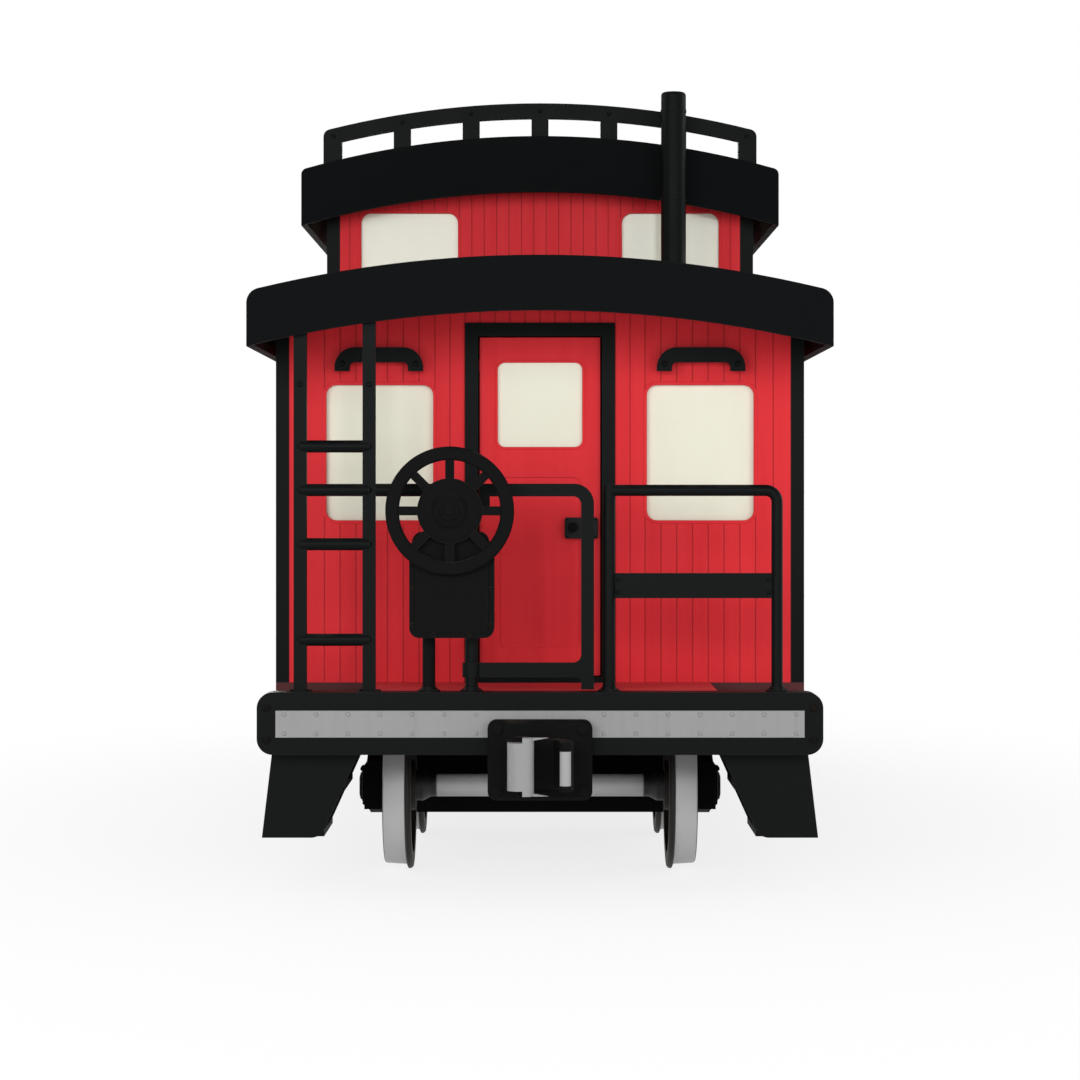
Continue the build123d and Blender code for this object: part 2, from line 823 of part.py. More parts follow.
# Stovepipe with a flashing collar and a rounded cap
pipe_foot_z = roof_top_z(pipe_x)
with BuildPart() as stovepipe:
    with Locations((pipe_x, pipe_y, pipe_foot_z - roof_drop)):
        Cylinder(
            pipe_radius,
            pipe_top_z - pipe_foot_z + roof_drop,
            align=(Align.CENTER, Align.CENTER, Align.MIN),
        )
    fillet(stovepipe.edges().sort_by(Axis.Z)[-1], pipe_cap_radius)
    with Locations((pipe_x, pipe_y, pipe_foot_z)):
        Cone(
            pipe_collar_radius,
            pipe_radius,
            pipe_collar_height,
            align=(Align.CENTER, Align.CENTER, Align.MIN),
        )
        Cylinder(pipe_collar_radius, roof_drop, align=(Align.CENTER, Align.CENTER, Align.MAX))
    with BuildSketch(Plane.XZ):
        add(wall_face(roof_half, roof_top_z, 0))
    extrude(amount=roof_half_y, both=True, mode=Mode.SUBTRACT)
save(stovepipe.part, "stovepipe")


# Strikers: rounded blocks round the coupler shanks
shank_slot_x = shank_half_x + shank_clearance
shank_slot_z = shank_half_z + shank_clearance
with BuildPart() as striker:
    with BuildSketch(Plane.XZ.offset(sill_face_y)):
        with Locations((0, (striker_top_z + striker_bottom_z) / 2)):
            RectangleRounded(2 * striker_half, striker_top_z - striker_bottom_z, striker_radius)
        with Locations((0, coupler_z)):
            RectangleRounded(2 * shank_slot_x, 2 * shank_slot_z, shank_clearance, mode=Mode.SUBTRACT)
    extrude(amount=striker_depth)
    chamfer(striker.faces().sort_by(Axis.Y)[0].outer_wire().edges(), striker_radius / 3)
save_pair(striker.part, "strikers")

# Couplers: shank with its yoke, flared head, guard arm, and two ears round the knuckle pin
pin_y = -(sill_face_y + pin_out)
head_back_y = -(sill_face_y + striker_depth + shank_clearance)
shank_back_y = -(sill_back_y - yoke_setback)
throat_y = pin_y + throat_depth
guard_tip_y = -(sill_face_y + guard_out)
with BuildPart() as coupler:
    with Locations((0, (shank_back_y + head_back_y) / 2, coupler_z)):
        Box(2 * shank_half_x, shank_back_y - head_back_y, 2 * shank_half_z)
    with Locations((0, shank_back_y, coupler_z)):
        Box(2 * sill_web_inner, yoke_length, 2 * shank_half_z)
    with BuildSketch(Plane.XY.offset(coupler_z - head_half_z)):
        with BuildLine():
            Polyline(
                (-shank_half_x, head_back_y),
                (pin_x - ear_radius, pin_y + ear_radius),
                (pin_x - ear_radius, pin_y),
            )
            ThreePointArc(
                (pin_x - ear_radius, pin_y), (pin_x, pin_y - ear_radius), (pin_x + ear_radius, pin_y)
            )
            Polyline(
                (pin_x + ear_radius, pin_y),
                (pin_x + ear_radius, throat_y),
                (guard_x - guard_width / 2, throat_y),
                (guard_x, pin_y),
                (guard_x, guard_tip_y + guard_width / 2),
            )
            ThreePointArc(
                (guard_x, guard_tip_y + guard_width / 2),
                (guard_x + guard_width / 2, guard_tip_y),
                (guard_x + guard_width, guard_tip_y + guard_width / 2),
            )
            Polyline(
                (guard_x + guard_width, guard_tip_y + guard_width / 2),
                (guard_x + guard_width + shank_clearance, pin_y),
                (shank_half_x, head_back_y),
                (-shank_half_x, head_back_y),
            )
        make_face()
    extrude(amount=2 * head_half_z)
    with Locations((pin_x, pin_y, coupler_z)):
        Cylinder(ear_radius + 2 * swing_gap, knuckle_hub_height + 2 * face_gap, mode=Mode.SUBTRACT)
        Cylinder(pin_radius, 2 * head_half_z + 2 * swing_gap)
save_pair(coupler.part, "couplers")

# Knuckles: a hub between the ears and a full-height nose that hooks towards the guard arm
nose_y = -(sill_face_y + knuckle_nose)
heel_x = pin_x - knuckle_hub_radius
nose_x = pin_x + knuckle_hub_radius + knuckle_nose_bulge / 4
nose_root_x = pin_x + knuckle_hub_radius / 2
nose_inner_y = nose_y + knuckle_nose_depth
with BuildPart() as knuckle:
    with BuildSketch(Plane.XY.offset(coupler_z - knuckle_height / 2)):
        with BuildLine():
            Line((heel_x, pin_y), (heel_x, nose_y + knuckle_hub_radius))
            RadiusArc((heel_x, nose_y + knuckle_hub_radius), (pin_x, nose_y), -knuckle_hub_radius)
            Line((pin_x, nose_y), (nose_root_x, nose_y))
            ThreePointArc(
                (nose_root_x, nose_y),
                (nose_x, nose_y + knuckle_nose_bulge),
                (nose_x, nose_inner_y),
            )
            Polyline(
                (nose_x, nose_inner_y),
                (nose_root_x, nose_inner_y + knuckle_nose_taper),
                (pin_x + knuckle_hub_radius - knuckle_waist, pin_y),
                (heel_x, pin_y),
            )
        make_face()
    extrude(amount=knuckle_height)
    with BuildSketch(Plane.XZ.offset(-nose_inner_y)) as lips:
        for half in (-knuckle_height / 2, knuckle_height / 2):
            with BuildLine():
                Polyline(
                    (nose_root_x, coupler_z + half),
                    (nose_x + knuckle_lip, coupler_z + half),
                    (nose_x, coupler_z + half * (1 - knuckle_lip_depth / knuckle_height)),
                    (nose_root_x, coupler_z + half * (1 - knuckle_lip_depth / knuckle_height)),
                    close=True,
                )
            make_face()
    extrude(amount=knuckle_nose_depth - knuckle_nose_bulge)
    with BuildSketch(Plane.XZ.offset(-pin_y)):
        for half in (-knuckle_height / 2, knuckle_height / 2):
            with Locations((heel_x, coupler_z + half)):
                Rectangle(2 * knuckle_heel_width, knuckle_height - knuckle_heel_height)
    extrude(amount=knuckle_nose - pin_out, mode=Mode.SUBTRACT)
    with Locations((pin_x, pin_y, coupler_z)):
        Cylinder(ear_radius + swing_gap, knuckle_height, mode=Mode.SUBTRACT)
    with BuildSketch(Plane.XY.offset(coupler_z - knuckle_hub_height / 2)):
        with Locations((pin_x, pin_y)):
            Circle(knuckle_hub_radius)
        with Locations((pin_x, pin_y - ear_radius)):
            Rectangle(2 * (knuckle_hub_radius - knuckle_waist), 2 * ear_radius)
    extrude(amount=knuckle_hub_height)
    with Locations((pin_x, pin_y, coupler_z)):
        Cylinder(pin_radius + running_fit, knuckle_height, mode=Mode.SUBTRACT)
save_ends(knuckle.part, "knuckle")


# Side steps: two cut-out stringers with three treads between them
step_slope = (step_inner_toe_x - step_inner_bend_x) / (step_inner_bend_z - step_inner_toe_z)
outer_slope = (step_outer_bottom_x - step_outer_top_x) / (end_sill_bottom_z - step_bottom_z)


def step_outer(z):
    """Outer edge of a stringer at height z."""
    return step_outer_top_x + (end_sill_bottom_z - z) * outer_slope


def step_inner(z):
    """Inner slanted edge of a stringer at height z."""
    return max(step_inner_top_x, step_inner_bend_x + (step_inner_bend_z - z) * step_slope)


def stringer_face():
    """Stringer outline with a rounded toe, seen along the car."""
    with BuildSketch() as face:
        Polygon(
            (step_inner_top_x, deck_under_z),
            (step_inner_top_x, end_sill_bottom_z),
            (step_inner_bend_x, step_inner_bend_z),
            (step_inner(step_bottom_z), step_bottom_z),
            (step_outer_bottom_x, step_bottom_z),
            (step_outer(deck_under_z), deck_under_z),
            align=None,
        )
        fillet(face.vertices().group_by(Axis.Y)[0].sort_by(Axis.X)[0], step_radius)
    return face.sketch


with BuildPart() as steps:
    for stringer_y in (end_y, sill_back_y - stringer):
        with BuildSketch(Plane.XZ.offset(stringer_y)):
            add(stringer_face())
        extrude(amount=stringer)
    for z in [deck_z - drop for drop in tread_drops]:
        with Locations(((step_inner(z) + step_outer(z)) / 2, -(end_y + sill_back_y) / 2, z)):
            Box(
                step_outer(z) - step_inner(z),
                sill_back_y - end_y - 2 * stringer,
                tread_thickness,
                align=(Align.CENTER, Align.CENTER, Align.MAX),
            )
    mirror(about=Plane.YZ)
save_pair(steps.part, "steps")


# Ladders: two stiles up to the roof, with round rungs between them
with BuildPart() as ladder:
    for x in (outer_stile_x, inner_stile_x):
        with BuildSketch(Plane.XZ.offset(rail_y - stile_depth / 2)):
            with BuildLine():
                Polyline(
                    (x - stile_width / 2, deck_z),
                    (x + stile_width / 2, deck_z),
                    (x + stile_width / 2, roof_under_z(x + stile_width / 2)),
                    (x - stile_width / 2, roof_under_z(x - stile_width / 2)),
                    close=True,
                )
            make_face()
        extrude(amount=stile_depth)
    with BuildSketch(Plane.YZ.offset(outer_stile_x)):
        with Locations(*[(-rail_y, z) for z in rung_z]):
            Circle(rung_radius)
    extrude(amount=ladder_width)
save_pair(ladder.part, "ladders")

# Fixed railings: left rail from the ladder to the hinge post, right bay with its wide middle band
with BuildPart() as railings:
    with Locations((hinge_post_x, -rail_y, deck_z)):
        Cylinder(post_radius, railing_top_z - deck_z, align=(Align.CENTER, Align.CENTER, Align.MIN))
    with BuildSketch(Plane.YZ.offset(inner_stile_x + stile_width / 2)):
        with Locations((-rail_y, left_rail_z)):
            Circle(post_radius)
    extrude(amount=hinge_post_x - inner_stile_x - stile_width / 2)
    with BuildLine() as bay_path:
        Polyline(
            (corner_post_x, -rail_y, deck_z),
            (corner_post_x, -rail_y, right_rail_z),
            (right_post_x, -rail_y, right_rail_z),
        )
        fillet(bay_path.vertices().sort_by(Axis.Z)[-2:].sort_by(Axis.X)[-1], 2 * right_rail_radius)
    with BuildSketch(Plane.XY.offset(deck_z)):
        with Locations((corner_post_x, -rail_y)):
            Circle(right_rail_radius)
    sweep(path=bay_path.line)
    with Locations((right_post_x, -rail_y, deck_z)):
        Cylinder(
            post_radius,
            right_rail_z - deck_z + right_rail_radius,
            align=(Align.CENTER, Align.CENTER, Align.MIN),
        )
    with Locations(((right_post_x + corner_post_x) / 2, -rail_y, mid_band_z)):
        Box(corner_post_x - right_post_x, mid_band_thickness, mid_band_height)
save_pair(railings.part, "railings")

# Gates: a bent frame hung on two collars round the hinge post
collar_radius = post_radius + collar_wall
gate_right_x = gate_post_x + post_radius
gate_left_x = hinge_post_x + post_radius + swing_gap
gate_inner_x = gate_post_x - post_radius
gate_bar_z = railing_top_z - 2 * post_radius
gate_rail_top_z = gate_bottom_z + gate_bottom_height / 2
gate_rail_under_z = gate_bottom_z - gate_bottom_height / 2
collar_top_z = gate_bar_z - swing_gap
with BuildPart() as gate:
    with BuildSketch(Plane.XZ.offset(rail_y - gate_thickness / 2)) as gate_face:
        with Locations((gate_left_x, deck_z + gate_floor_gap)):
            Rectangle(
                gate_right_x - gate_left_x,
                railing_top_z - deck_z - gate_floor_gap,
                align=(Align.MIN, Align.MIN),
            )
        fillet(gate_face.vertices().group_by(Axis.Y)[-1].sort_by(Axis.X)[-1], gate_corner_outer)
        with Locations((gate_inner_x, gate_rail_top_z)):
            RectangleRounded(
                2 * (gate_inner_x - gate_left_x),
                gate_bar_z - gate_rail_top_z,
                gate_corner_inner,
                align=(Align.MAX, Align.MIN),
                mode=Mode.SUBTRACT,
            )
        with Locations((gate_inner_x, gate_rail_under_z)):
            RectangleRounded(
                2 * (gate_inner_x - gate_left_x),
                2 * (gate_rail_under_z - deck_z),
                gate_corner_inner / 2,
                align=(Align.MAX, Align.MAX),
                mode=Mode.SUBTRACT,
            )
    extrude(amount=gate_thickness)
    for collar_z in (gate_rail_under_z, collar_top_z - gate_bottom_height):
        with Locations((hinge_post_x, -rail_y, collar_z)):
            Cylinder(collar_radius, gate_bottom_height, align=(Align.CENTER, Align.CENTER, Align.MIN))
            Box(
                2 * collar_radius,
                gate_thickness,
                gate_bottom_height,
                align=(Align.MIN, Align.CENTER, Align.MIN),
            )
    with Locations((gate_left_x, -rail_y, collar_top_z - gate_bottom_height)):
        Box(
            2 * collar_radius + hinge_post_x - gate_left_x,
            gate_thickness,
            gate_bar_z + post_radius - collar_top_z + gate_bottom_height,
            align=(Align.MIN, Align.CENTER, Align.MIN),
        )
    with Locations((hinge_post_x, -rail_y, railing_top_z / 2)):
        Cylinder(post_radius + running_fit, railing_top_z, mode=Mode.SUBTRACT)
save_ends(gate.part, "gate")


# Grab handles over the end windows
with BuildPart() as grab_handles:
    with BuildSketch(Plane.XZ.offset(end_y + handle_stand_off)) as handle_face:
        with Locations((end_window_x, handle_bottom_z)):
            Rectangle(2 * handle_half, handle_top_z - handle_bottom_z, align=(Align.CENTER, Align.MIN))
        fillet(handle_face.vertices().group_by(Axis.Y)[-1], handle_outer_radius)
        with Locations((end_window_x, handle_top_z - handle_bar)):
            RectangleRounded(
                2 * (handle_half - handle_bar),
                2 * (handle_top_z - handle_bar - handle_bottom_z),
                handle_inner_radius,
                align=(Align.CENTER, Align.MAX),
                mode=Mode.SUBTRACT,
            )
    extrude(amount=handle_bar_depth)
    with BuildSketch(Plane.XZ.offset(end_y)):
        with Locations(*[
            (end_window_x + side * (handle_half - handle_bar / 2), handle_bottom_z + handle_bar / 2)
            for side in (-1, 1)
        ]):
            Circle(handle_foot_radius)
    extrude(amount=handle_stand_off)
    mirror(about=Plane.YZ)
save_pair(grab_handles.part, "grab_handles")


# Hand brake: a cast housing on two posts, and its spoked wheel on a shaft
housing_back_y = rail_y
housing_front_y = rail_y + housing_depth
brake_boss_back_y = rail_y + post_radius + 2 * collar_wall
with BuildPart() as brake_stand:
    with BuildSketch(Plane.XZ.offset(housing_back_y)) as housing_face:
        Polygon(
            (brake_x - housing_left, housing_bottom_z),
            (brake_x + housing_right, housing_bottom_z),
            (brake_x + housing_right, housing_shoulder_z),
            (brake_x + housing_neck_half, housing_top_z),
            (brake_x - housing_neck_half, housing_top_z),
            (brake_x - housing_left, housing_shoulder_z),
            align=None,
        )
        fillet(housing_face.vertices(), housing_radius)
    extrude(amount=housing_depth)
    with BuildSketch(Plane.XZ.offset(housing_front_y)):
        add(housing_face.sketch_local)
        offset(amount=-housing_cover_margin)
    extrude(amount=housing_cover_depth)
    with BuildSketch(Plane.XZ.offset(brake_boss_back_y)):
        with Locations((brake_x, brake_axis_z)):
            Circle(housing_neck_radius)
        with Locations((brake_x, housing_top_z - housing_radius)):
            Rectangle(
                2 * housing_neck_radius,
                brake_axis_z - housing_top_z + housing_radius,
                align=(Align.CENTER, Align.MIN),
            )
    extrude(amount=housing_front_y - brake_boss_back_y)
    with Locations((brake_x - stand_post_offset, -rail_y, deck_z)):
        Cylinder(post_radius, housing_bottom_z - deck_z, align=(Align.CENTER, Align.CENTER, Align.MIN))
    with Locations((hinge_post_x, -rail_y, railing_top_z / 2)):
        Cylinder(post_radius, railing_top_z, mode=Mode.SUBTRACT)
    with BuildSketch(Plane.XZ.offset(brake_boss_back_y)):
        with Locations((brake_x, brake_axis_z)):
            Circle(brake_shaft_radius + running_fit)
    extrude(amount=housing_depth, mode=Mode.SUBTRACT)
save_pair(brake_stand.part, "brake_stands")

wheel_back_y = housing_front_y + housing_cover_depth + swing_gap
wheel_mid_y = wheel_back_y + brake_rim_depth / 2
brake_axis = Axis((brake_x, 0, brake_axis_z), (0, 1, 0))
with BuildPart() as brake_wheel:
    with BuildSketch(Plane.XY.offset(brake_axis_z)):
        with Locations((brake_x + brake_wheel_radius - brake_rim_width / 2, -wheel_mid_y)):
            RectangleRounded(brake_rim_width, brake_rim_depth, brake_rim_depth / 3)
    revolve(axis=brake_axis)
    with BuildSketch(Plane.XZ.offset(wheel_mid_y - spoke_depth / 2)):
        with Locations((brake_x, brake_axis_z)):
            with PolarLocations(0, brake_spokes):
                Polygon(
                    (0, -spoke_root_width / 2),
                    (brake_wheel_radius - brake_rim_width / 2, -spoke_width / 2),
                    (brake_wheel_radius - brake_rim_width / 2, spoke_width / 2),
                    (0, spoke_root_width / 2),
                    align=None,
                )
    extrude(amount=spoke_depth)
    with BuildSketch(Plane.XZ.offset(wheel_mid_y - brake_hub_depth / 2)):
        with Locations((brake_x, brake_axis_z)):
            Circle(brake_hub_radius)
    extrude(amount=brake_hub_depth)
    with BuildSketch(Plane.XZ.offset(brake_boss_back_y + swing_gap)):
        with Locations((brake_x, brake_axis_z)):
            Circle(brake_shaft_radius)
    extrude(amount=wheel_mid_y - brake_boss_back_y - swing_gap)
save_ends(brake_wheel.part, "brake_wheel")


# Doors: a panelled leaf with a square window, hung inside the frame on three hinges
leaf_half = door_opening_half - door_gap
leaf_bottom_z = deck_z + door_sill_height + swing_gap
leaf_top_z = door_opening_top_z - swing_gap
leaf_outer_y = leaf_inner_y + door_leaf
with BuildPart() as door:
    with BuildSketch(Plane.XZ.offset(leaf_inner_y)):
        with Locations((0, (leaf_top_z + leaf_bottom_z) / 2)):
            Rectangle(2 * leaf_half, leaf_top_z - leaf_bottom_z)
        with Locations((0, door_window_mid_z)):
            RectangleRounded(
                door_window_width, door_window_height, door_window_radius, mode=Mode.SUBTRACT
            )
    extrude(amount=door_leaf)
    for face_y in (leaf_outer_y - door_panel_inset, leaf_inner_y):
        with BuildSketch(Plane.XZ.offset(face_y)):
            with Locations((0, (door_panel_top_z + door_panel_bottom_z) / 2)):
                RectangleRounded(
                    2 * (leaf_half - door_panel_margin),
                    door_panel_top_z - door_panel_bottom_z,
                    door_window_radius,
                )
        extrude(amount=door_panel_inset, mode=Mode.SUBTRACT)
    with BuildSketch(Plane.XZ.offset(leaf_outer_y)) as lock_face:
        with Locations((leaf_half - lock_edge_gap, lock_z)):
            Rectangle(lock_width, lock_height, align=(Align.MAX, Align.CENTER))
        fillet(lock_face.vertices(), lock_radius)
    extrude(amount=lock_depth)
    with BuildSketch(Plane.XZ.offset(leaf_inner_y - lock_depth)):
        with Locations((leaf_half - lock_edge_gap - lock_width / 2, lock_z)):
            Circle(knob_radius)
    extrude(amount=lock_depth + door_leaf)
    for z in hinge_z:
        with Locations((hinge_x, -hinge_y, z)):
            Cylinder(
                hinge_barrel_radius,
                hinge_length / 2 - face_gap,
                align=(Align.CENTER, Align.CENTER, Align.MIN),
            )
            Box(
                hinge_length / 2,
                hinge_barrel_radius + face_gap,
                hinge_length / 2 - face_gap,
                align=(Align.MIN, Align.MAX, Align.MIN),
            )
        with Locations((hinge_x, -hinge_y, z)):
            Cylinder(
                hinge_pin_radius + running_fit,
                hinge_length,
                align=(Align.CENTER, Align.CENTER, Align.CENTER),
                mode=Mode.SUBTRACT,
            )
save_ends(door.part, "door")

with BuildPart() as door_glass:
    with BuildSketch(Plane.XZ.offset((leaf_inner_y + leaf_outer_y - glass) / 2)):
        with Locations((0, door_window_mid_z)):
            RectangleRounded(door_window_width, door_window_height, door_window_radius)
    extrude(amount=glass)
save_ends(door_glass.part, "door_glass")


# Truck side frames: cast trusses with the bolster window and the axle boxes
frame_half_y = wheelbase / 2 + journal_box_half
box_top_z = axle_z + journal_box_height
box_bottom_z = axle_z - journal_box_height
spring_seat_z = frame_bottom_z + frame_bar
window_half_y = bolster_half_y + bolster_gap
window_top_of_frame_z = frame_top_z - frame_bar
inner_opening_y = window_half_y + frame_bar
outer_opening_y = wheelbase / 2 - journal_box_half - frame_bar / 2
chord_break_y = inner_opening_y + 2 * frame_bar


def side_frame_at(truck_y):
    """Both side frames of the truck whose centre is at truck_y."""
    with BuildPart() as side_frames:
        with BuildSketch(Plane.YZ.offset(side_frame_x)) as frame_face:
            with Locations((truck_y, 0)):
                Polygon(
                    (0, frame_bottom_z),
                    (chord_break_y, frame_bottom_z),
                    (wheelbase / 2 - journal_box_half, box_bottom_z),
                    (frame_half_y, box_bottom_z),
                    (frame_half_y, box_top_z),
                    (wheelbase / 2 - journal_box_half, box_top_z),
                    (chord_break_y, frame_top_z),
                    (0, frame_top_z),
                    align=None,
                )
                with BuildSketch(mode=Mode.PRIVATE) as opening:
                    Polygon(
                        (inner_opening_y, spring_seat_z),
                        (chord_break_y, spring_seat_z),
                        (outer_opening_y, box_bottom_z + frame_bar),
                        (outer_opening_y, box_top_z - frame_bar),
                        (chord_break_y, window_top_of_frame_z),
                        (inner_opening_y, window_top_of_frame_z),
                        align=None,
                    )
                    fillet(opening.vertices(), frame_bar / 3)
                add(opening.sketch, mode=Mode.SUBTRACT)
            mirror(about=Plane.YZ.offset(truck_y))
            with Locations((truck_y, (spring_seat_z + window_top_of_frame_z) / 2)):
                RectangleRounded(
                    2 * window_half_y,
                    window_top_of_frame_z - spring_seat_z,
                    frame_bar / 5,
                    mode=Mode.SUBTRACT,
                )
        extrude(amount=side_frame_width)
        with BuildSketch(Plane.YZ.offset(side_frame_x)):
            with Locations(*[(truck_y + side * wheelbase / 2, axle_z) for side in (-1, 1)]):
                Circle(journal_radius + running_fit)
        extrude(amount=side_frame_width - journal_lid, mode=Mode.SUBTRACT)
        mirror(about=Plane.YZ)
    return side_frames.part


save_ends(side_frame_at(-truck_centre_y), "side_frames")

# Truck bolsters: fish-belly beams with the centre bowl and side bearers, on the spring plank
bolster_end_top_z = bolster_bottom_z + bolster_end_height
side_bearer_top_z = side_bearer_face_z - swing_gap
with BuildPart() as bolster:
    with BuildSketch(Plane.XZ.offset(truck_centre_y)):
        Polygon(
            (-side_frame_outer_x, bolster_bottom_z),
            (-side_frame_x, bolster_bottom_z),
            (-centre_plate_radius, bolster_bottom_z - bolster_belly),
            (centre_plate_radius, bolster_bottom_z - bolster_belly),
            (side_frame_x, bolster_bottom_z),
            (side_frame_outer_x, bolster_bottom_z),
            (side_frame_outer_x, bolster_end_top_z),
            (side_frame_x, bolster_end_top_z),
            (2 * centre_plate_radius, bolster_top_z),
            (-2 * centre_plate_radius, bolster_top_z),
            (-side_frame_x, bolster_end_top_z),
            (-side_frame_outer_x, bolster_end_top_z),
            align=None,
        )
    extrude(amount=bolster_half_y, both=True)
    with Locations((0, -truck_centre_y, bolster_top_z)):
        Cylinder(
            centre_plate_radius + face_gap + centre_bowl_wall,
            centre_bowl_depth,
            align=(Align.CENTER, Align.CENTER, Align.MIN),
        )
        Cylinder(
            centre_plate_radius + face_gap,
            centre_bowl_depth,
            align=(Align.CENTER, Align.CENTER, Align.MIN),
            mode=Mode.SUBTRACT,
        )
    for side in (-1, 1):
        with Locations((side * side_bearer_x, -truck_centre_y, bolster_end_top_z)):
            Box(
                side_bearer_size,
                side_bearer_size,
                side_bearer_top_z - bolster_end_top_z,
                align=(Align.CENTER, Align.CENTER, Align.MIN),
            )
save_ends(bolster.part, "bolster")

with BuildPart() as spring_plank:
    with BuildSketch(Plane.YZ):
        with Locations((-truck_centre_y, frame_bottom_z)):
            Rectangle(2 * plank_half_y, plank_thickness, align=(Align.CENTER, Align.MAX))
        for side in (-1, 1):
            with Locations((-truck_centre_y + side * (plank_half_y - plank_thickness / 2), frame_bottom_z)):
                Rectangle(plank_thickness, plank_lip, align=(Align.CENTER, Align.MIN))
    extrude(amount=side_frame_x, both=True)
    with Locations(*[
        (side * (side_frame_x + side_frame_width / 2), -truck_centre_y, frame_bottom_z) for side in (-1, 1)
    ]):
        Box(
            side_frame_width,
            2 * plank_half_y,
            plank_thickness,
            align=(Align.CENTER, Align.CENTER, Align.MAX),
        )
save_ends(spring_plank.part, "spring_plank")

# Coil springs between the spring seats and the bolster ends
spring_height = bolster_bottom_z - spring_seat_z
spring_mid_z = (spring_seat_z + bolster_bottom_z) / 2
coil_pitch = spring_height / spring_turns
with BuildPart() as springs:
    spring_x = side_frame_x + side_frame_width / 2
    for place in (-1, 0, 1):
        spring_y = -truck_centre_y + place * spring_pitch_y
        with BuildSketch(Plane.XZ.offset(-spring_y)):
            with Locations((spring_x, spring_mid_z)):
                Rectangle(spring_radius - spring_wire, spring_height, align=(Align.MIN, Align.CENTER))
            with Locations(*[
                (spring_x + spring_radius - spring_wire / 2, spring_seat_z + coil_pitch * (turn + 0.5))
                for turn in range(spring_turns)
            ]):
                Ellipse(spring_wire / 2, coil_pitch / 2)
            with Locations((spring_x + spring_radius - spring_wire, spring_mid_z)):
                Rectangle(spring_wire / 2, spring_height, align=(Align.MIN, Align.CENTER))
        revolve(axis=Axis((spring_x, spring_y, 0), (0, 0, 1)))
    mirror(about=Plane.YZ)
save_ends(springs.part, "springs")


# Brake beams: hung between the wheels from the side frames, with a shoe facing each wheel
tread_x = (wheel_inner_x + flange_width + wheel_outer_x) / 2
brake_beam_z = axle_z - brake_beam_drop
journal_end_x = side_frame_outer_x - journal_lid - journal_end_gap
shoe_back_radius = tread_radius + shoe_gap + shoe_thickness
beam_face_y = wheelbase / 2 - shoe_back_radius - brake_head_length
beam_half_x = side_frame_x - brake_hanger / 2
shoe_mid_radius = tread_radius + shoe_gap + shoe_thickness / 2


def brake_beams_at(truck_y):
    """The two brake beams of the truck whose centre is at truck_y."""
    with BuildPart() as beams:
        with BuildSketch(Plane.XY.offset(brake_beam_z)):
            with Locations((0, truck_y)):
                Polygon(
                    (-beam_half_x, beam_face_y),
                    (-beam_half_x, beam_face_y - brake_beam_thickness),
                    (0, beam_face_y - brake_beam_thickness - brake_beam_belly),
                    (beam_half_x, beam_face_y - brake_beam_thickness),
                    (beam_half_x, beam_face_y),
                    align=None,
                )
        extrude(amount=brake_beam_depth / 2, both=True)
        for side in (-1, 1):
            hanger_y = truck_y + beam_face_y - brake_beam_thickness / 2
            with Locations((side * beam_half_x, hanger_y, brake_beam_z)):
                Box(
                    brake_hanger,
                    brake_hanger,
                    frame_top_z - brake_beam_z,
                    align=(Align.CENTER, Align.CENTER, Align.MIN),
                )
            with Locations((side * tread_x, truck_y + beam_face_y, brake_beam_z)):
                Box(
                    shoe_width,
                    wheelbase / 2 - shoe_mid_radius - beam_face_y,
                    brake_beam_depth / 2,
                    align=(Align.CENTER, Align.MIN, Align.CENTER),
                )
            with BuildSketch(Plane.YZ.offset(side * tread_x - shoe_width / 2)):
                with Locations((truck_y + wheelbase / 2, axle_z)):
                    Circle(shoe_back_radius)
                    Circle(tread_radius + shoe_gap, mode=Mode.SUBTRACT)
                with Locations((truck_y + wheelbase / 2 - shoe_back_radius, brake_beam_z)):
                    Rectangle(shoe_back_radius, shoe_height, mode=Mode.INTERSECT)
            extrude(amount=shoe_width)
        mirror(about=Plane.XZ.offset(-truck_y))
    return beams.part


save_ends(brake_beams_at(-truck_centre_y), "brake_beams")


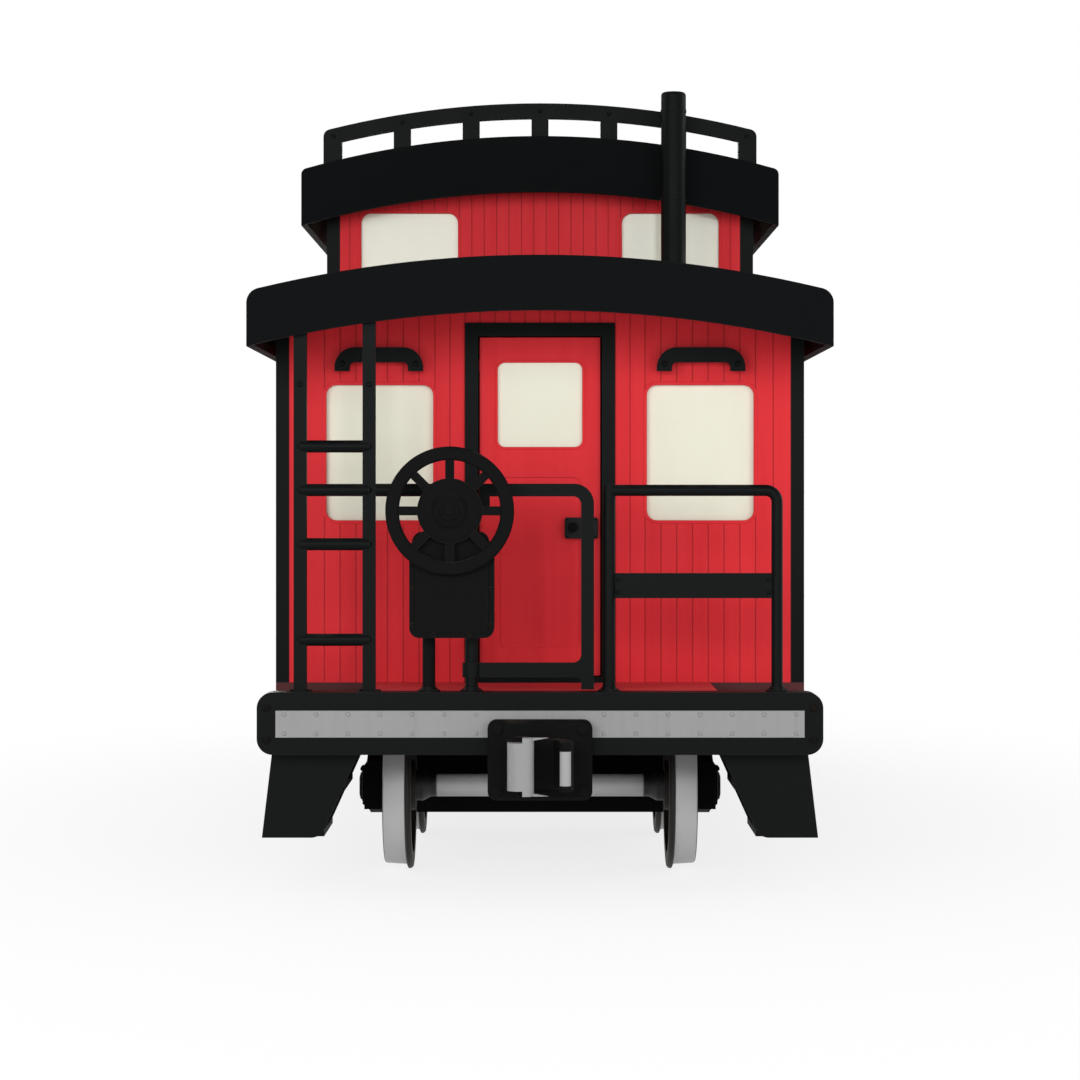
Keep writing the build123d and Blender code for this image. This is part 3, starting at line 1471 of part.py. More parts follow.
# Wheelsets: flanged wheels with a coned tread and a thin plate, pressed on an axle
def wheelset_at(axle_y, label):
    """Write the wheels and the axle whose middle is at axle_y."""
    plane = Plane(origin=(0, axle_y, axle_z), x_dir=(1, 0, 0), z_dir=(0, -1, 0))
    turning = Axis((0, axle_y, axle_z), (1, 0, 0))
    rim_radius = tread_radius - rim_depth
    plate_x = (wheel_inner_x + wheel_outer_x) / 2
    hub_in_x = wheel_inner_x - wheel_hub_overhang
    hub_out_x = wheel_outer_x + wheel_hub_overhang
    with BuildPart() as wheels:
        with BuildSketch(plane):
            Polygon(
                (hub_in_x, wheel_seat_radius),
                (hub_out_x, wheel_seat_radius),
                (hub_out_x, wheel_hub_radius),
                (plate_x + wheel_plate, wheel_hub_radius + wheel_plate / 2),
                (plate_x + wheel_plate / 2, rim_radius - wheel_plate),
                (plate_x + wheel_plate, rim_radius),
                (wheel_outer_x, rim_radius),
                (wheel_outer_x, tread_radius - tread_cone - tread_chamfer),
                (wheel_outer_x - tread_chamfer, tread_radius - tread_cone),
                (wheel_inner_x + flange_width, tread_radius + tread_cone / 2),
                (wheel_inner_x + (flange_width + flange_tip) / 2, tread_radius + flange_height),
                (wheel_inner_x + (flange_width - flange_tip) / 2, tread_radius + flange_height),
                (wheel_inner_x, tread_radius + flange_height - flange_shoulder),
                (wheel_inner_x, rim_radius),
                (plate_x - wheel_plate, rim_radius),
                (plate_x - wheel_plate / 2, rim_radius - wheel_plate),
                (plate_x - wheel_plate, wheel_hub_radius + wheel_plate / 2),
                (hub_in_x, wheel_hub_radius),
                align=None,
            )
        revolve(axis=turning)
        mirror(about=Plane.YZ)
    with BuildPart() as axle:
        with BuildSketch(plane):
            Polygon(
                (0, 0),
                (0, axle_radius),
                (hub_in_x - wheel_seat_radius, axle_radius),
                (hub_in_x - wheel_seat_radius / 2, wheel_seat_radius),
                (hub_out_x, wheel_seat_radius),
                (hub_out_x, journal_radius),
                (journal_end_x, journal_radius),
                (journal_end_x, 0),
                align=None,
            )
        revolve(axis=turning)
        mirror(about=Plane.YZ)
    save(wheels.part, f"wheels_{label}")
    save(axle.part, f"axle_{label}")


wheelset_at(-truck_centre_y - wheelbase / 2, "1")
wheelset_at(-truck_centre_y + wheelbase / 2, "2")
wheelset_at(truck_centre_y - wheelbase / 2, "3")
wheelset_at(truck_centre_y + wheelbase / 2, "4")


# Air reservoir and brake cylinder hung under the floor
with BuildPart() as air_reservoir:
    with Locations(Location((reservoir_x, gear_y, gear_z), (90, 0, 0))):
        Cylinder(reservoir_radius, reservoir_length)
    fillet(air_reservoir.edges().filter_by(GeomType.CIRCLE), reservoir_radius / 3)
    for strap_y in (gear_y - reservoir_length / 4, gear_y + reservoir_length / 4):
        with Locations((reservoir_x, strap_y, gear_z)):
            Box(reservoir_radius, hanger, gear_drop, align=(Align.CENTER, Align.CENTER, Align.MIN))
save(air_reservoir.part, "air_reservoir")

with BuildPart() as brake_cylinder:
    with Locations(Location((cylinder_x, gear_y, gear_z), (90, 0, 0))):
        Cylinder(cylinder_radius, cylinder_length)
        Cylinder(cylinder_radius + hanger / 2, hanger / 2)
    fillet(brake_cylinder.edges().filter_by(GeomType.CIRCLE).sort_by(Axis.Y)[-1], cylinder_radius / 4)
    with Locations((cylinder_x, gear_y, gear_z)):
        Box(cylinder_radius, hanger, gear_drop, align=(Align.CENTER, Align.CENTER, Align.MIN))
save(brake_cylinder.part, "brake_cylinder")
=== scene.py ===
# %% [markdown]
# # A caboose in enamel, cast iron and glass
# The shapes of this railway caboose come from its CAD model. This lesson dresses them: it writes a finish for
# every surface and adds the small pieces that a foundry, a joiner and a painter leave behind. Lengths are in
# metres: X across the car, Y along it, Z up.

# %% Load the fixed frame
import math

import bmesh
import bpy
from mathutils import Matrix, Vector


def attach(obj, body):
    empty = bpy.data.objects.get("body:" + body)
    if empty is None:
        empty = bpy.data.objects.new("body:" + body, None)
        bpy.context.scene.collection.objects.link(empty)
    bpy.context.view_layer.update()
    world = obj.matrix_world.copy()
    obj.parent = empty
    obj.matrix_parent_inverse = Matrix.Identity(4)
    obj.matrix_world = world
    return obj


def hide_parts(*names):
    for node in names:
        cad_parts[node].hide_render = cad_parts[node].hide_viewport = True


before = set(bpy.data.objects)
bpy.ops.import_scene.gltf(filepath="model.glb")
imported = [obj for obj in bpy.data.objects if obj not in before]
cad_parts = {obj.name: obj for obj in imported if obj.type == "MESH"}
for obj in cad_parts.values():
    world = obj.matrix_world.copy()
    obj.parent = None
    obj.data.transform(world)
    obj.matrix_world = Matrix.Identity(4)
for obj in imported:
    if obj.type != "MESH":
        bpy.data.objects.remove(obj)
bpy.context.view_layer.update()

# %% [markdown]
# ## Camera
# The end of the car is seen straight on, from a little under two metres over the ground, the height of a
# standing eye. A long lens far away keeps the body nearly flat. The lens looks level and the frame is shifted
# down, as a view camera does, so upright edges stay upright.

# %% Camera at the eye's height
eye_distance = 19.5
eye_height = 1.98
picture_side = 1080
focal_pixels = 2960
horizon_row = 500
sensor = 36.0

camera_data = bpy.data.cameras.new("camera")
camera_data.sensor_width = sensor
camera_data.lens = focal_pixels * sensor / picture_side
camera_data.shift_y = (horizon_row - picture_side / 2) / picture_side
camera_data.clip_end = 200
camera = bpy.data.objects.new("camera", camera_data)
camera.location = (0, -eye_distance, eye_height)
camera.rotation_euler = (math.radians(90), 0, 0)
bpy.context.scene.collection.objects.link(camera)
bpy.context.scene.camera = camera
print("lens", round(camera_data.lens, 2), "mm")

# %% [markdown]
# ## Shader sums
# A finish is a sum of simple patterns. Wiring every sum by hand hides the idea, so a small class wraps one
# socket and lets Python's own operators write the Math nodes. A colour never goes through a Math node, which
# would turn it grey: colours are blended with Mix.

# %% A socket that can be added, scaled and compared
class Wire:
    """One output socket of a finish. Sums and products write their own Math nodes."""

    def __init__(self, finish, socket):
        self.finish = finish
        self.socket = socket

    def math(self, operation, *values):
        """Join these values with one Math node."""
        sockets = dict(enumerate(values))
        return self.finish.node("ShaderNodeMath", {"operation": operation}, sockets)

    def __add__(self, other):
        return self.math("ADD", self, other)

    __radd__ = __add__

    def __sub__(self, other):
        return self.math("SUBTRACT", self, other)

    def __rsub__(self, other):
        return self.math("SUBTRACT", other, self)

    def __mul__(self, other):
        return self.math("MULTIPLY", self, other)

    __rmul__ = __mul__

    def __pow__(self, other):
        return self.math("POWER", self, other)

    def __abs__(self):
        return self.math("ABSOLUTE", self)

    def __gt__(self, other):
        return self.math("GREATER_THAN", self, other)

    def __lt__(self, other):
        return self.math("LESS_THAN", self, other)

    def most(self, other):
        """The larger of two values."""
        return self.math("MAXIMUM", self, other)

    def rise(self, low, high):
        """Zero below low, one above high, and a soft step between them."""
        settings = {"interpolation_type": "SMOOTHSTEP"}
        sockets = {"Value": self, "From Min": low, "From Max": high}
        return self.finish.node("ShaderNodeMapRange", settings, sockets)

    def seam(self, pitch, width):
        """One at every multiple of pitch and zero away from it: a row of thin lines."""
        offset = self.math("PINGPONG", self, pitch / 2)
        return 1 - offset.rise(0, width)


print("sums are written with", Wire.__name__)

# %% [markdown]
# ## Finishes
# Each finish is one Principled surface. The class below starts an empty material and adds any node by its
# type, its settings and the values or links of its sockets. The patterns that all finishes share come from
# here too: grain, pits, dust that settles on upward faces and wear along edges. Wear is found with a
# bevelled normal, which leans away from the flat one near an edge, even on a mesh with few faces.

# %% A finish written from expressions
class Finish:
    """A material, or the sky, whose nodes are written from Python expressions."""

    def __init__(self, name, library=bpy.data.materials):
        self.material = library.new(name)
        self.material.use_nodes = True
        self.tree = self.material.node_tree
        self.tree.nodes.clear()
        self.place = self.node("ShaderNodeTexCoord", out="Object")
        sides = self.node("ShaderNodeSeparateXYZ", sockets={0: self.place}, out=None)
        self.x, self.y, self.z = (Wire(self, socket) for socket in sides.outputs)

    def node(self, kind, settings=None, sockets=None, out=0):
        """Add a node: first its settings, then the values or links of its sockets."""
        node = self.tree.nodes.new(kind)
        for name, value in (settings or {}).items():
            setattr(node, name, value)
        for key, value in (sockets or {}).items():
            if isinstance(value, Wire):
                self.tree.links.new(value.socket, node.inputs[key])
            else:
                node.inputs[key].default_value = value
        return node if out is None else Wire(self, node.outputs[out])

    def ramp(self, value, stops):
        """Colours along a value, as (place, colour) stops."""
        node = self.node("ShaderNodeValToRGB", sockets={0: value}, out=None)
        while len(node.color_ramp.elements) < len(stops):
            node.color_ramp.elements.new(0.5)
        for element, (place, colour) in zip(node.color_ramp.elements, stops):
            element.position = place
            element.color = (*colour, 1)
        return Wire(self, node.outputs[0])

    def mix(self, amount, first, second):
        """Blend two colours."""
        first, second = ((*c, 1) if isinstance(c, tuple) else c for c in (first, second))
        return self.node("ShaderNodeMix", {"data_type": "RGBA"}, {0: amount, 6: first, 7: second}, out=2)

    def stretched(self, x, y, z):
        """The place on the piece, scaled along each side, for grain that runs one way."""
        return self.node(
            "ShaderNodeVectorMath", {"operation": "MULTIPLY"}, {0: self.place, 1: (x, y, z)}
        )

    def noise(self, scale, detail=3.0, roughness=0.55, place=None):
        """Soft random grain between 0 and 1."""
        sockets = {"Vector": place or self.place, "Scale": scale, "Detail": detail, "Roughness": roughness}
        return self.node("ShaderNodeTexNoise", sockets=sockets)

    def cells(self, scale):
        """Distance to scattered points, for pits and specks."""
        return self.node("ShaderNodeTexVoronoi", sockets={"Vector": self.place, "Scale": scale})

    def looks_up(self):
        """The upward part of the surface normal."""
        normal = self.node("ShaderNodeNewGeometry", out="Normal")
        return self.node("ShaderNodeSeparateXYZ", sockets={0: normal}, out="Z")

    def edges(self, radius, grain):
        """Wear along sharp edges, broken up by grain of this scale."""
        rounded = self.node("ShaderNodeBevel", {"samples": 6}, {"Radius": radius})
        plain = self.node("ShaderNodeNewGeometry", out="Normal")
        product = {"operation": "DOT_PRODUCT"}
        lean = self.node("ShaderNodeVectorMath", product, {0: rounded, 1: plain}, out="Value")
        return ((1 - lean) * 3 * self.noise(grain, 4.0, 0.7)).rise(0.12, 0.5)

    def dust(self, amount):
        """Dust on faces that look up."""
        return self.looks_up().rise(0.35, 1.0) * self.noise(7.0, 5.0).rise(0.35, 0.75) * amount

    def bump(self, height, distance, strength):
        """A normal pushed up and down by a height pattern, in metres."""
        sockets = {"Height": height, "Distance": distance, "Strength": strength}
        return self.node("ShaderNodeBump", sockets=sockets)

    def done(self, colour, **sockets):
        """Feed the Principled surface and return the material."""
        sockets["base_color"] = colour
        names = {key.replace("_", " ").title().replace("Ior", "IOR"): value for key, value in sockets.items()}
        shader = self.node("ShaderNodeBsdfPrincipled", sockets=names)
        self.node("ShaderNodeOutputMaterial", sockets={0: shader}, out=None)
        return self.material


def srgb(red, green, blue):
    """A colour given in screen values from 0 to 255, as Blender's linear values."""
    def linear(value):
        part = value / 255
        return part / 12.92 if part <= 0.04045 else ((part + 0.055) / 1.055) ** 2.4
    return tuple(round(linear(v), 5) for v in (red, green, blue))


print("screen grey 128 is", srgb(128, 128, 128))

# %% [markdown]
# ## Red body paint
# The sides and ends are narrow upright boards under thick red enamel, and rain streaks run down them. The
# shade in the narrow gaps between boards is painted: the wall behind them is painted dark red where it lies
# at the outer face. On a door, what stands proud of the leaf's two faces is iron: the lock, the knob and the
# hinges are black by how far they lie from the middle of the car.

# %% Red enamel
body_red = srgb(209, 35, 43)
side_plane = 1.392
end_plane = 3.900
cupola_side_plane = 1.317
cupola_end_plane = 1.200
door_front_face = 3.875
door_back_face = 3.830
hair = 0.0005


def red_enamel(name, gap_shade_planes=None, fittings=False):
    """Red enamel on wood, with painted gap shade behind the boards on these planes, or with black door
    fittings.
    """
    paint = Finish(name)
    streak = paint.noise(1.0, 6.0, 0.6, paint.stretched(18, 18, 0.7)).rise(0.35, 0.8)
    cloud = paint.noise(1.6, 4.0, 0.6)
    speck = paint.cells(260.0).rise(0.0, 0.25)
    deep = tuple(v * 0.80 for v in body_red)
    faded = tuple(min(1, v * 1.05 + 0.006) for v in body_red)
    colour = paint.mix(cloud * 0.6, body_red, faded)
    colour = paint.mix(streak * 0.28, colour, deep)
    colour = paint.mix(paint.edges(0.006, 40.0) * 0.4, colour, srgb(120, 40, 40))
    colour = paint.mix(paint.dust(0.4), colour, srgb(150, 100, 90))
    if gap_shade_planes:
        half_width, half_length = gap_shade_planes
        # painted shade: the wall that shows in the gaps between boards is painted dark, where shade would
        # fall
        painted_gap_shade = (abs(paint.x) > half_width - hair).most(abs(paint.y) > half_length - hair)
        colour = paint.mix(painted_gap_shade * 0.7, colour, tuple(v * 0.3 for v in body_red))
    if fittings:
        depth = abs(paint.y)
        proud = (depth > door_front_face + hair).most(depth < door_back_face - hair)
        colour = paint.mix(proud, colour, srgb(12, 13, 14))
    relief = paint.noise(240.0, 2.0) * 0.05 + speck * 0.03
    return paint.done(
        colour,
        roughness=0.45 + cloud * 0.12 + streak * 0.1,
        specular_ior_level=0.15,
        normal=paint.bump(relief, 0.002, 0.8),
    )


wall_red = red_enamel("red_enamel_wall", gap_shade_planes=(side_plane, end_plane))
cupola_red = red_enamel("red_enamel_cupola", gap_shade_planes=(cupola_side_plane, cupola_end_plane))
panel_red = red_enamel("red_enamel_panel")
door_red = red_enamel("red_enamel_door", fittings=True)
print("red finishes", [finish.name for finish in (wall_red, cupola_red, panel_red, door_red)])

# %% [markdown]
# ## Black enamel
# Everything that isn't red is nearly black, yet no two blacks are the same. Keeping them apart by grain and
# gloss is what makes the car read as real. Enamel on rails and posts is smooth and catches light, so it gets
# fine brush grain, rubbed edges and the higher gloss.

# %% Black enamel
def black_enamel():
    """Smooth black enamel with brush grain and rubbed edges."""
    paint = Finish("black_enamel")
    cloud = paint.noise(5.0, 5.0, 0.6)
    colour = paint.mix(cloud * 0.5, srgb(6, 9, 9), srgb(12, 14, 15))
    colour = paint.mix(paint.edges(0.004, 60.0) * 0.6, colour, srgb(58, 56, 54))
    colour = paint.mix(paint.dust(0.3), colour, srgb(80, 75, 68))
    relief = paint.noise(180.0, 2.0) * 0.4 + paint.cells(90.0) * 0.2
    return paint.done(
        colour,
        roughness=0.4 + cloud * 0.18,
        specular_ior_level=0.07,
        normal=paint.bump(relief, 0.0005, 0.6),
    )


enamel = black_enamel()
print("smooth black", enamel.name)

# %% [markdown]
# ## Cast iron
# Cast iron keeps the sand of its mould as fine pits, and rust comes through its thin paint. The next car's
# knuckle rubs the front of the guard arm bright. That strip is found by its place on the casting, so the arm
# stays one piece.

# %% Cast iron and the rubbed guard arm
guard_inner = 0.096
guard_outer = 0.151
guard_low = 0.5895
guard_high = 0.7566
guard_reach = 5.11


def cast_iron(name, rubbed=False):
    """Sand-cast iron under thin black paint. The coupler's guard arm may be rubbed bright."""
    paint = Finish(name)
    cloud = paint.noise(6.0, 6.0, 0.65)
    pits = paint.cells(210.0).rise(0.0, 0.4)
    colour = paint.mix(cloud * 0.6, srgb(8, 9, 10), srgb(18, 17, 17))
    colour = paint.mix(paint.edges(0.005, 45.0) * 0.5, colour, srgb(66, 55, 47))
    colour = paint.mix(cloud.rise(0.62, 0.8) * 0.15, colour, srgb(60, 40, 29))
    colour = paint.mix(paint.dust(0.35), colour, srgb(84, 75, 66))
    if rubbed:
        across = abs(paint.x)
        strip = (across > guard_inner) * (across < guard_outer) * (paint.x * paint.y < 0)
        strip = strip * (paint.z > guard_low) * (paint.z < guard_high) * (abs(paint.y) > guard_reach)
        colour = paint.mix(strip, colour, srgb(153, 153, 153))
    relief = pits * 0.5 + paint.noise(90.0, 4.0, 0.7)
    return paint.done(
        colour,
        roughness=0.62 + cloud * 0.2,
        specular_ior_level=0.06,
        normal=paint.bump(relief, 0.0012, 0.7),
    )


iron = cast_iron("cast_iron")
coupler_iron = cast_iron("cast_iron_rubbed", rubbed=True)
print("castings", iron.name, coupler_iron.name)

# %% [markdown]
# ## Roof canvas
# The roof is canvas nailed over boards and sealed with tar, with a lap about every metre. Sun and rain bleach
# it where it looks up, so the laps and the pale cloud are mixed in by the upward part of the normal and the
# deep edges stay black.

# %% Canvas under roof tar
lap_pitch = 1.05
lap_width = 0.014


def roof_tar():
    """Canvas under roof tar, with laps across the car."""
    paint = Finish("roof_tar")
    lap = paint.y.seam(lap_pitch, lap_width)
    weave = paint.noise(420.0, 2.0) * 0.4 + paint.noise(30.0, 5.0, 0.6)
    top = paint.looks_up().rise(0.3, 0.7)
    cloud = paint.noise(2.2, 6.0, 0.6)
    colour = paint.mix(cloud * 0.5, srgb(6, 8, 9), srgb(14, 15, 16))
    bleached = top * cloud.rise(0.25, 0.8)
    colour = paint.mix(bleached * 0.4, colour, srgb(52, 51, 50))
    colour = paint.mix(lap * top * 0.6, colour, srgb(62, 61, 58))
    colour = paint.mix(paint.edges(0.006, 30.0) * 0.4, colour, srgb(50, 48, 46))
    relief = lap * top * 1.5 + weave * 0.3
    return paint.done(
        colour,
        roughness=0.66 + cloud * 0.2,
        specular_ior_level=0.06,
        normal=paint.bump(relief, 0.0025, 0.6),
    )


tar = roof_tar()
print("roof", tar.name)

# %% [markdown]
# ## Pale metal
# The plate along the end beam is painted light grey, and the knuckle is bare steel of nearly the same tone.
# Water runs off both, so the stains are drawn as long upright streaks by stretching the noise.

# %% Grey sill plate and knuckle
def grey_plate(name, rust):
    """Pale grey metal with stains below its edges."""
    paint = Finish(name)
    cloud = paint.noise(4.0, 5.0, 0.6)
    streak = paint.noise(1.0, 5.0, 0.6, paint.stretched(26, 26, 1.2)).rise(0.45, 0.85)
    colour = paint.mix(cloud * 0.6, srgb(134, 134, 134), srgb(144, 144, 143))
    colour = paint.mix(streak * 0.18, colour, srgb(108, 105, 100))
    colour = paint.mix(paint.edges(0.005, 50.0) * rust, colour, srgb(104, 84, 68))
    relief = paint.noise(160.0, 3.0) * 0.5 + cloud * 0.5
    return paint.done(
        colour,
        roughness=0.48 + cloud * 0.14,
        specular_ior_level=0.25,
        normal=paint.bump(relief, 0.0006, 0.5),
    )


plate_grey = grey_plate("grey_plate", 0.5)
knuckle_grey = grey_plate("grey_knuckle", 0.35)
print("pale metal", plate_grey.name, knuckle_grey.name)

# %% [markdown]
# ## Wheels
# A wheel is bright only where it rolls: the tread is polished, and the rest is dark with oil and dust. That
# split follows the distance from the axle, which a shader can measure from the piece's own coordinates, so it
# stays put when the wheel turns. The flange beside the tread stays dark.

# %% Wheels with polished treads
axle_height = 0.444
axle_rows = {"1": -3.55, "2": -1.874, "3": 1.874, "4": 3.55}
tread_edge = (0.409, 0.4125)
flange_edge = (0.400, 0.415)
flange_face = (0.709, 0.716)


def wheel_steel(number):
    """Wheel steel, bright on the tread and dark on the plate, measured from this axle."""
    paint = Finish(f"wheel_steel_{number}")
    from_axle = ((paint.y - axle_rows[number]) ** 2 + (paint.z - axle_height) ** 2) ** 0.5
    tread = from_axle.rise(*tread_edge)
    flange = (1 - abs(paint.x).rise(*flange_face)) * from_axle.rise(*flange_edge)
    rolled = tread * (1 - flange)
    cloud = paint.noise(6.0, 5.0, 0.65)
    turned = paint.noise(1.0, 2.0, 0.5, paint.stretched(900, 3, 3))
    dark = paint.mix(cloud, srgb(16, 16, 16), srgb(38, 33, 29))
    bright = paint.mix(cloud * 0.6, srgb(188, 188, 188), srgb(200, 199, 197))
    colour = paint.mix(rolled, dark, bright)
    return paint.done(
        colour,
        roughness=0.62 - rolled * 0.2,
        metallic=rolled * 0.15,
        specular_ior_level=0.25,
        normal=paint.bump(turned * 0.3 + cloud * 0.7, 0.0006, 0.5),
    )


wheel_steels = {number: wheel_steel(number) for number in axle_rows}
print("wheel finishes", len(wheel_steels))

# %% [markdown]
# ## Axles
# An axle is forged and turned, and stays pale where nothing touches it. Near each end its colour turns dark,
# and the dark part starts a hand's width inside the wheel.

# %% Axle steel
seat_edge = (0.548, 0.562)


def axle_steel():
    """Forged axle, pale, with dark ends."""
    paint = Finish("axle_steel")
    cloud = paint.noise(7.0, 5.0, 0.6)
    colour = paint.mix(cloud * 0.6, srgb(196, 196, 196), srgb(208, 207, 205))
    # the colour turns dark towards each end of the axle, a hand's width inside the wheel
    colour = paint.mix(abs(paint.x).rise(*seat_edge), colour, srgb(26, 24, 23))
    turned = paint.noise(1.0, 2.0, 0.5, paint.stretched(500, 3, 3))
    return paint.done(
        colour,
        roughness=0.5 + cloud * 0.15,
        metallic=0.1,
        normal=paint.bump(turned, 0.0004, 0.5),
    )


axle_grey = axle_steel()
print("axle", axle_grey.name)

# %% [markdown]
# ## Window panes
# The panes are old glass with cream blinds drawn close behind them, so they read cream with a soft shine.
# A pane is never quite flat: a slow wave in its normal bends what it reflects.

# %% Cream panes
def cream_pane():
    """Old window glass with a cream blind close behind it."""
    pane = Finish("cream_pane")
    wave = pane.noise(2.4, 2.0, 0.4)
    fold = pane.noise(1.0, 3.0, 0.5, pane.stretched(9, 9, 1.2))
    colour = pane.mix(fold * 0.7, srgb(224, 222, 203), srgb(232, 230, 213))
    colour = pane.mix(pane.noise(14.0, 6.0, 0.6).rise(0.6, 0.9) * 0.2, colour, srgb(196, 190, 168))
    return pane.done(
        colour,
        roughness=0.07 + pane.noise(20.0, 4.0) * 0.06,
        specular_ior_level=0.35,
        normal=pane.bump(wave, 0.004, 0.35),
    )


cream = cream_pane()
print("panes", cream.name)

# %% [markdown]
# ## Spring steel
# Springs are wound hot, so their surface is scaled and takes paint unevenly. One slow noise drives colour,
# gloss and bump together, as one coat of paint over scale does.

# %% Spring steel
def spring_wire():
    """Spring steel under black paint."""
    paint = Finish("spring_wire")
    cloud = paint.noise(12.0, 5.0, 0.6)
    colour = paint.mix(cloud, srgb(14, 14, 15), srgb(40, 35, 31))
    return paint.done(colour, roughness=0.5 + cloud * 0.2, normal=paint.bump(cloud, 0.001, 0.5))


spring_black = spring_wire()
print("springs", spring_black.name)

# %% [markdown]
# ## Deck planks
# The platform deck is planked across the car, in the red of the walls, and its paint is worn along the grain
# where boots go. Noise stretched across the car is the grain, and a colour ramp turns it into worn paint.

# %% Deck planks
plank_width = 0.14
plank_gap = 0.004


def deck_planks():
    """Deck planks under red floor paint, worn along the grain."""
    wood = Finish("deck_planks")
    gap = wood.y.seam(plank_width, plank_gap)
    fibre = wood.noise(1.0, 7.0, 0.65, wood.stretched(5, 90, 90))
    stops = [(0.25, srgb(180, 34, 41)), (0.6, srgb(214, 38, 46)), (0.85, srgb(192, 66, 60))]
    colour = wood.ramp(fibre, stops)
    colour = wood.mix(gap * 0.9, colour, srgb(30, 12, 12))
    edge = 1 - wood.looks_up().rise(0.4, 0.8)
    colour = wood.mix(edge * 0.9, colour, srgb(13, 14, 15))
    return wood.done(
        colour,
        roughness=0.72 + fibre * 0.15,
        normal=wood.bump(fibre * 0.5 - gap * 2, 0.0015, 0.8),
    )


planks = deck_planks()
print("deck", planks.name)

# %% [markdown]
# ## Dress the carried-over pieces
# The solids keep their exact shapes, and only their material slots change. Each node is matched with the
# finish that the real piece has.

# %% Give each node its finish
dressing = {
    wall_red: ["side_walls", "end_walls"],
    cupola_red: ["cupola_walls"],
    door_red: ["door_rear", "door_front"],
    tar: ["main_roof", "cupola_roof"],
    plate_grey: ["sill_plates"],
    coupler_iron: ["couplers"],
    knuckle_grey: ["knuckle_rear", "knuckle_front"],
    cream: ["body_glass", "cupola_glass", "door_glass_rear", "door_glass_front"],
    planks: ["floor"],
    spring_black: ["springs_rear", "springs_front"],
    axle_grey: [f"axle_{number}" for number in axle_rows],
    iron: [
        "strikers", "brake_stands", "centre_sills", "side_sills", "body_bolsters",
        "cross_members", "air_reservoir", "brake_cylinder",
        *[
            f"{piece}_{end}"
            for piece in ("side_frames", "bolster", "spring_plank", "brake_beams", "brake_wheel")
            for end in ("rear", "front")
        ],
    ],
    enamel: [
        "end_sills", "corner_posts", "door_frames", "cupola_posts", "roof_rails", "stovepipe", "steps",
        "ladders", "railings", "grab_handles", "gate_rear", "gate_front",
    ],
}
for number, steel in wheel_steels.items():
    dressing[steel] = [f"wheels_{number}"]
dressed = set()
for material, names in dressing.items():
    for name in names:
        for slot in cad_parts[name].material_slots:
            slot.material = material
        dressed.add(name)
print("dressed", len(dressed), "undressed", sorted(set(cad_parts) - dressed))

# %% [markdown]
# ## Turned forms
# Bolt heads, washers, knobs and nuts are all turned forms: a short profile spun round an axis. Modelling them
# one by one from primitives would leave hundreds of loose objects, so one helper writes the spun profile into
# a mesh that is still being built, and a whole row of heads becomes one piece.

# %% Spin a profile into a mesh
def skin(shape, rings, hollow=False):
    """Cover rings of points with faces: capped at both ends or, where hollow, joined last to first."""
    if not hollow:
        shape.faces.new(list(reversed(rings[0])))
        shape.faces.new(rings[-1])
    following = rings[1:] + rings[:1] if hollow else rings[1:]
    for low, high in zip(rings, following):
        for step in range(len(low)):
            beside = (step + 1) % len(low)
            shape.faces.new((low[step], low[beside], high[beside], high[step]))


def turn(shape, place, axis, profile, sides=16, spin=0.0, hollow=False):
    """Add a turned form. The profile is (radius, height) pairs, from the seat outwards."""
    along = Vector(axis).normalized()
    side = along.orthogonal().normalized()
    other = along.cross(side)
    angles = [spin + math.tau * step / sides for step in range(sides)]
    spokes = [math.cos(angle) * side + math.sin(angle) * other for angle in angles]
    rings = []
    for radius, height in profile:
        centre = Vector(place) + along * height
        rings.append([shape.verts.new(centre + radius * spoke) for spoke in spokes])
    skin(shape, rings, hollow)


def scaled(profile, radius):
    """A profile that was drawn for a radius of one, at this radius."""
    return [(radius * out, radius * up) for out, up in profile]


def rivet(shape, place, axis, radius):
    """A domed rivet head."""
    dome = ((1, 0), (0.94, 0.26), (0.74, 0.48), (0.4, 0.62))
    turn(shape, place, axis, scaled(dome, radius), sides=10)


def bolt(shape, place, axis, radius):
    """A hexagon head on a washer."""
    washer = ((1, 0), (1, 0.14), (0.94, 0.2))
    head = ((0.76, 0.1), (0.76, 0.6), (0.66, 0.72))
    turn(shape, place, axis, scaled(washer, radius), sides=16)
    turn(shape, place, axis, scaled(head, radius), sides=6)


def piece_from(shape, name, material, body="carbody", crease=38):
    """Finish a mesh that was being built and put it on its body."""
    bmesh.ops.recalc_face_normals(shape, faces=shape.faces)
    mesh = bpy.data.meshes.new(name)
    shape.to_mesh(mesh)
    shape.free()
    mesh.shade_smooth()
    mesh.set_sharp_from_angle(angle=math.radians(crease))
    mesh.materials.append(material)
    piece = bpy.data.objects.new(name, mesh)
    bpy.context.scene.collection.objects.link(piece)
    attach(piece, body)
    print(name, len(mesh.polygons), "faces on", body)
    return piece


# %% [markdown]
# ## The two ends
# The car is the same at both ends, turned half round. Each small piece is therefore written once, for the
# rear end at minus Y, and a helper turns its place for the front end.

# %% Places at both ends
ends = {"rear": 1, "front": -1}
sill_face = 4.700
plate_face = sill_face + 0.012
rail_plane = 4.630
deck_top = 1.018
up = (0, 0, 1)


def at_end(sign, x, y, z):
    """A rear-end place, or the same place turned to the front."""
    return (sign * x, sign * y, z)


def spread(count, pitch):
    """This many places at even spacing, on both sides of zero."""
    return [(index - (count - 1) / 2) * pitch for index in range(count)]


print("front sill face", at_end(ends["front"], 0, -sill_face, deck_top))

# %% [markdown]
# ## Bolts and rivets on the end beam
# The light plate is riveted to the end beam in two rows, and the striker round the coupler is held by four
# big bolts. The rivets are painted with the plate, so only their shadows show. Bolts on the black rim hold
# the beam to the sills behind.

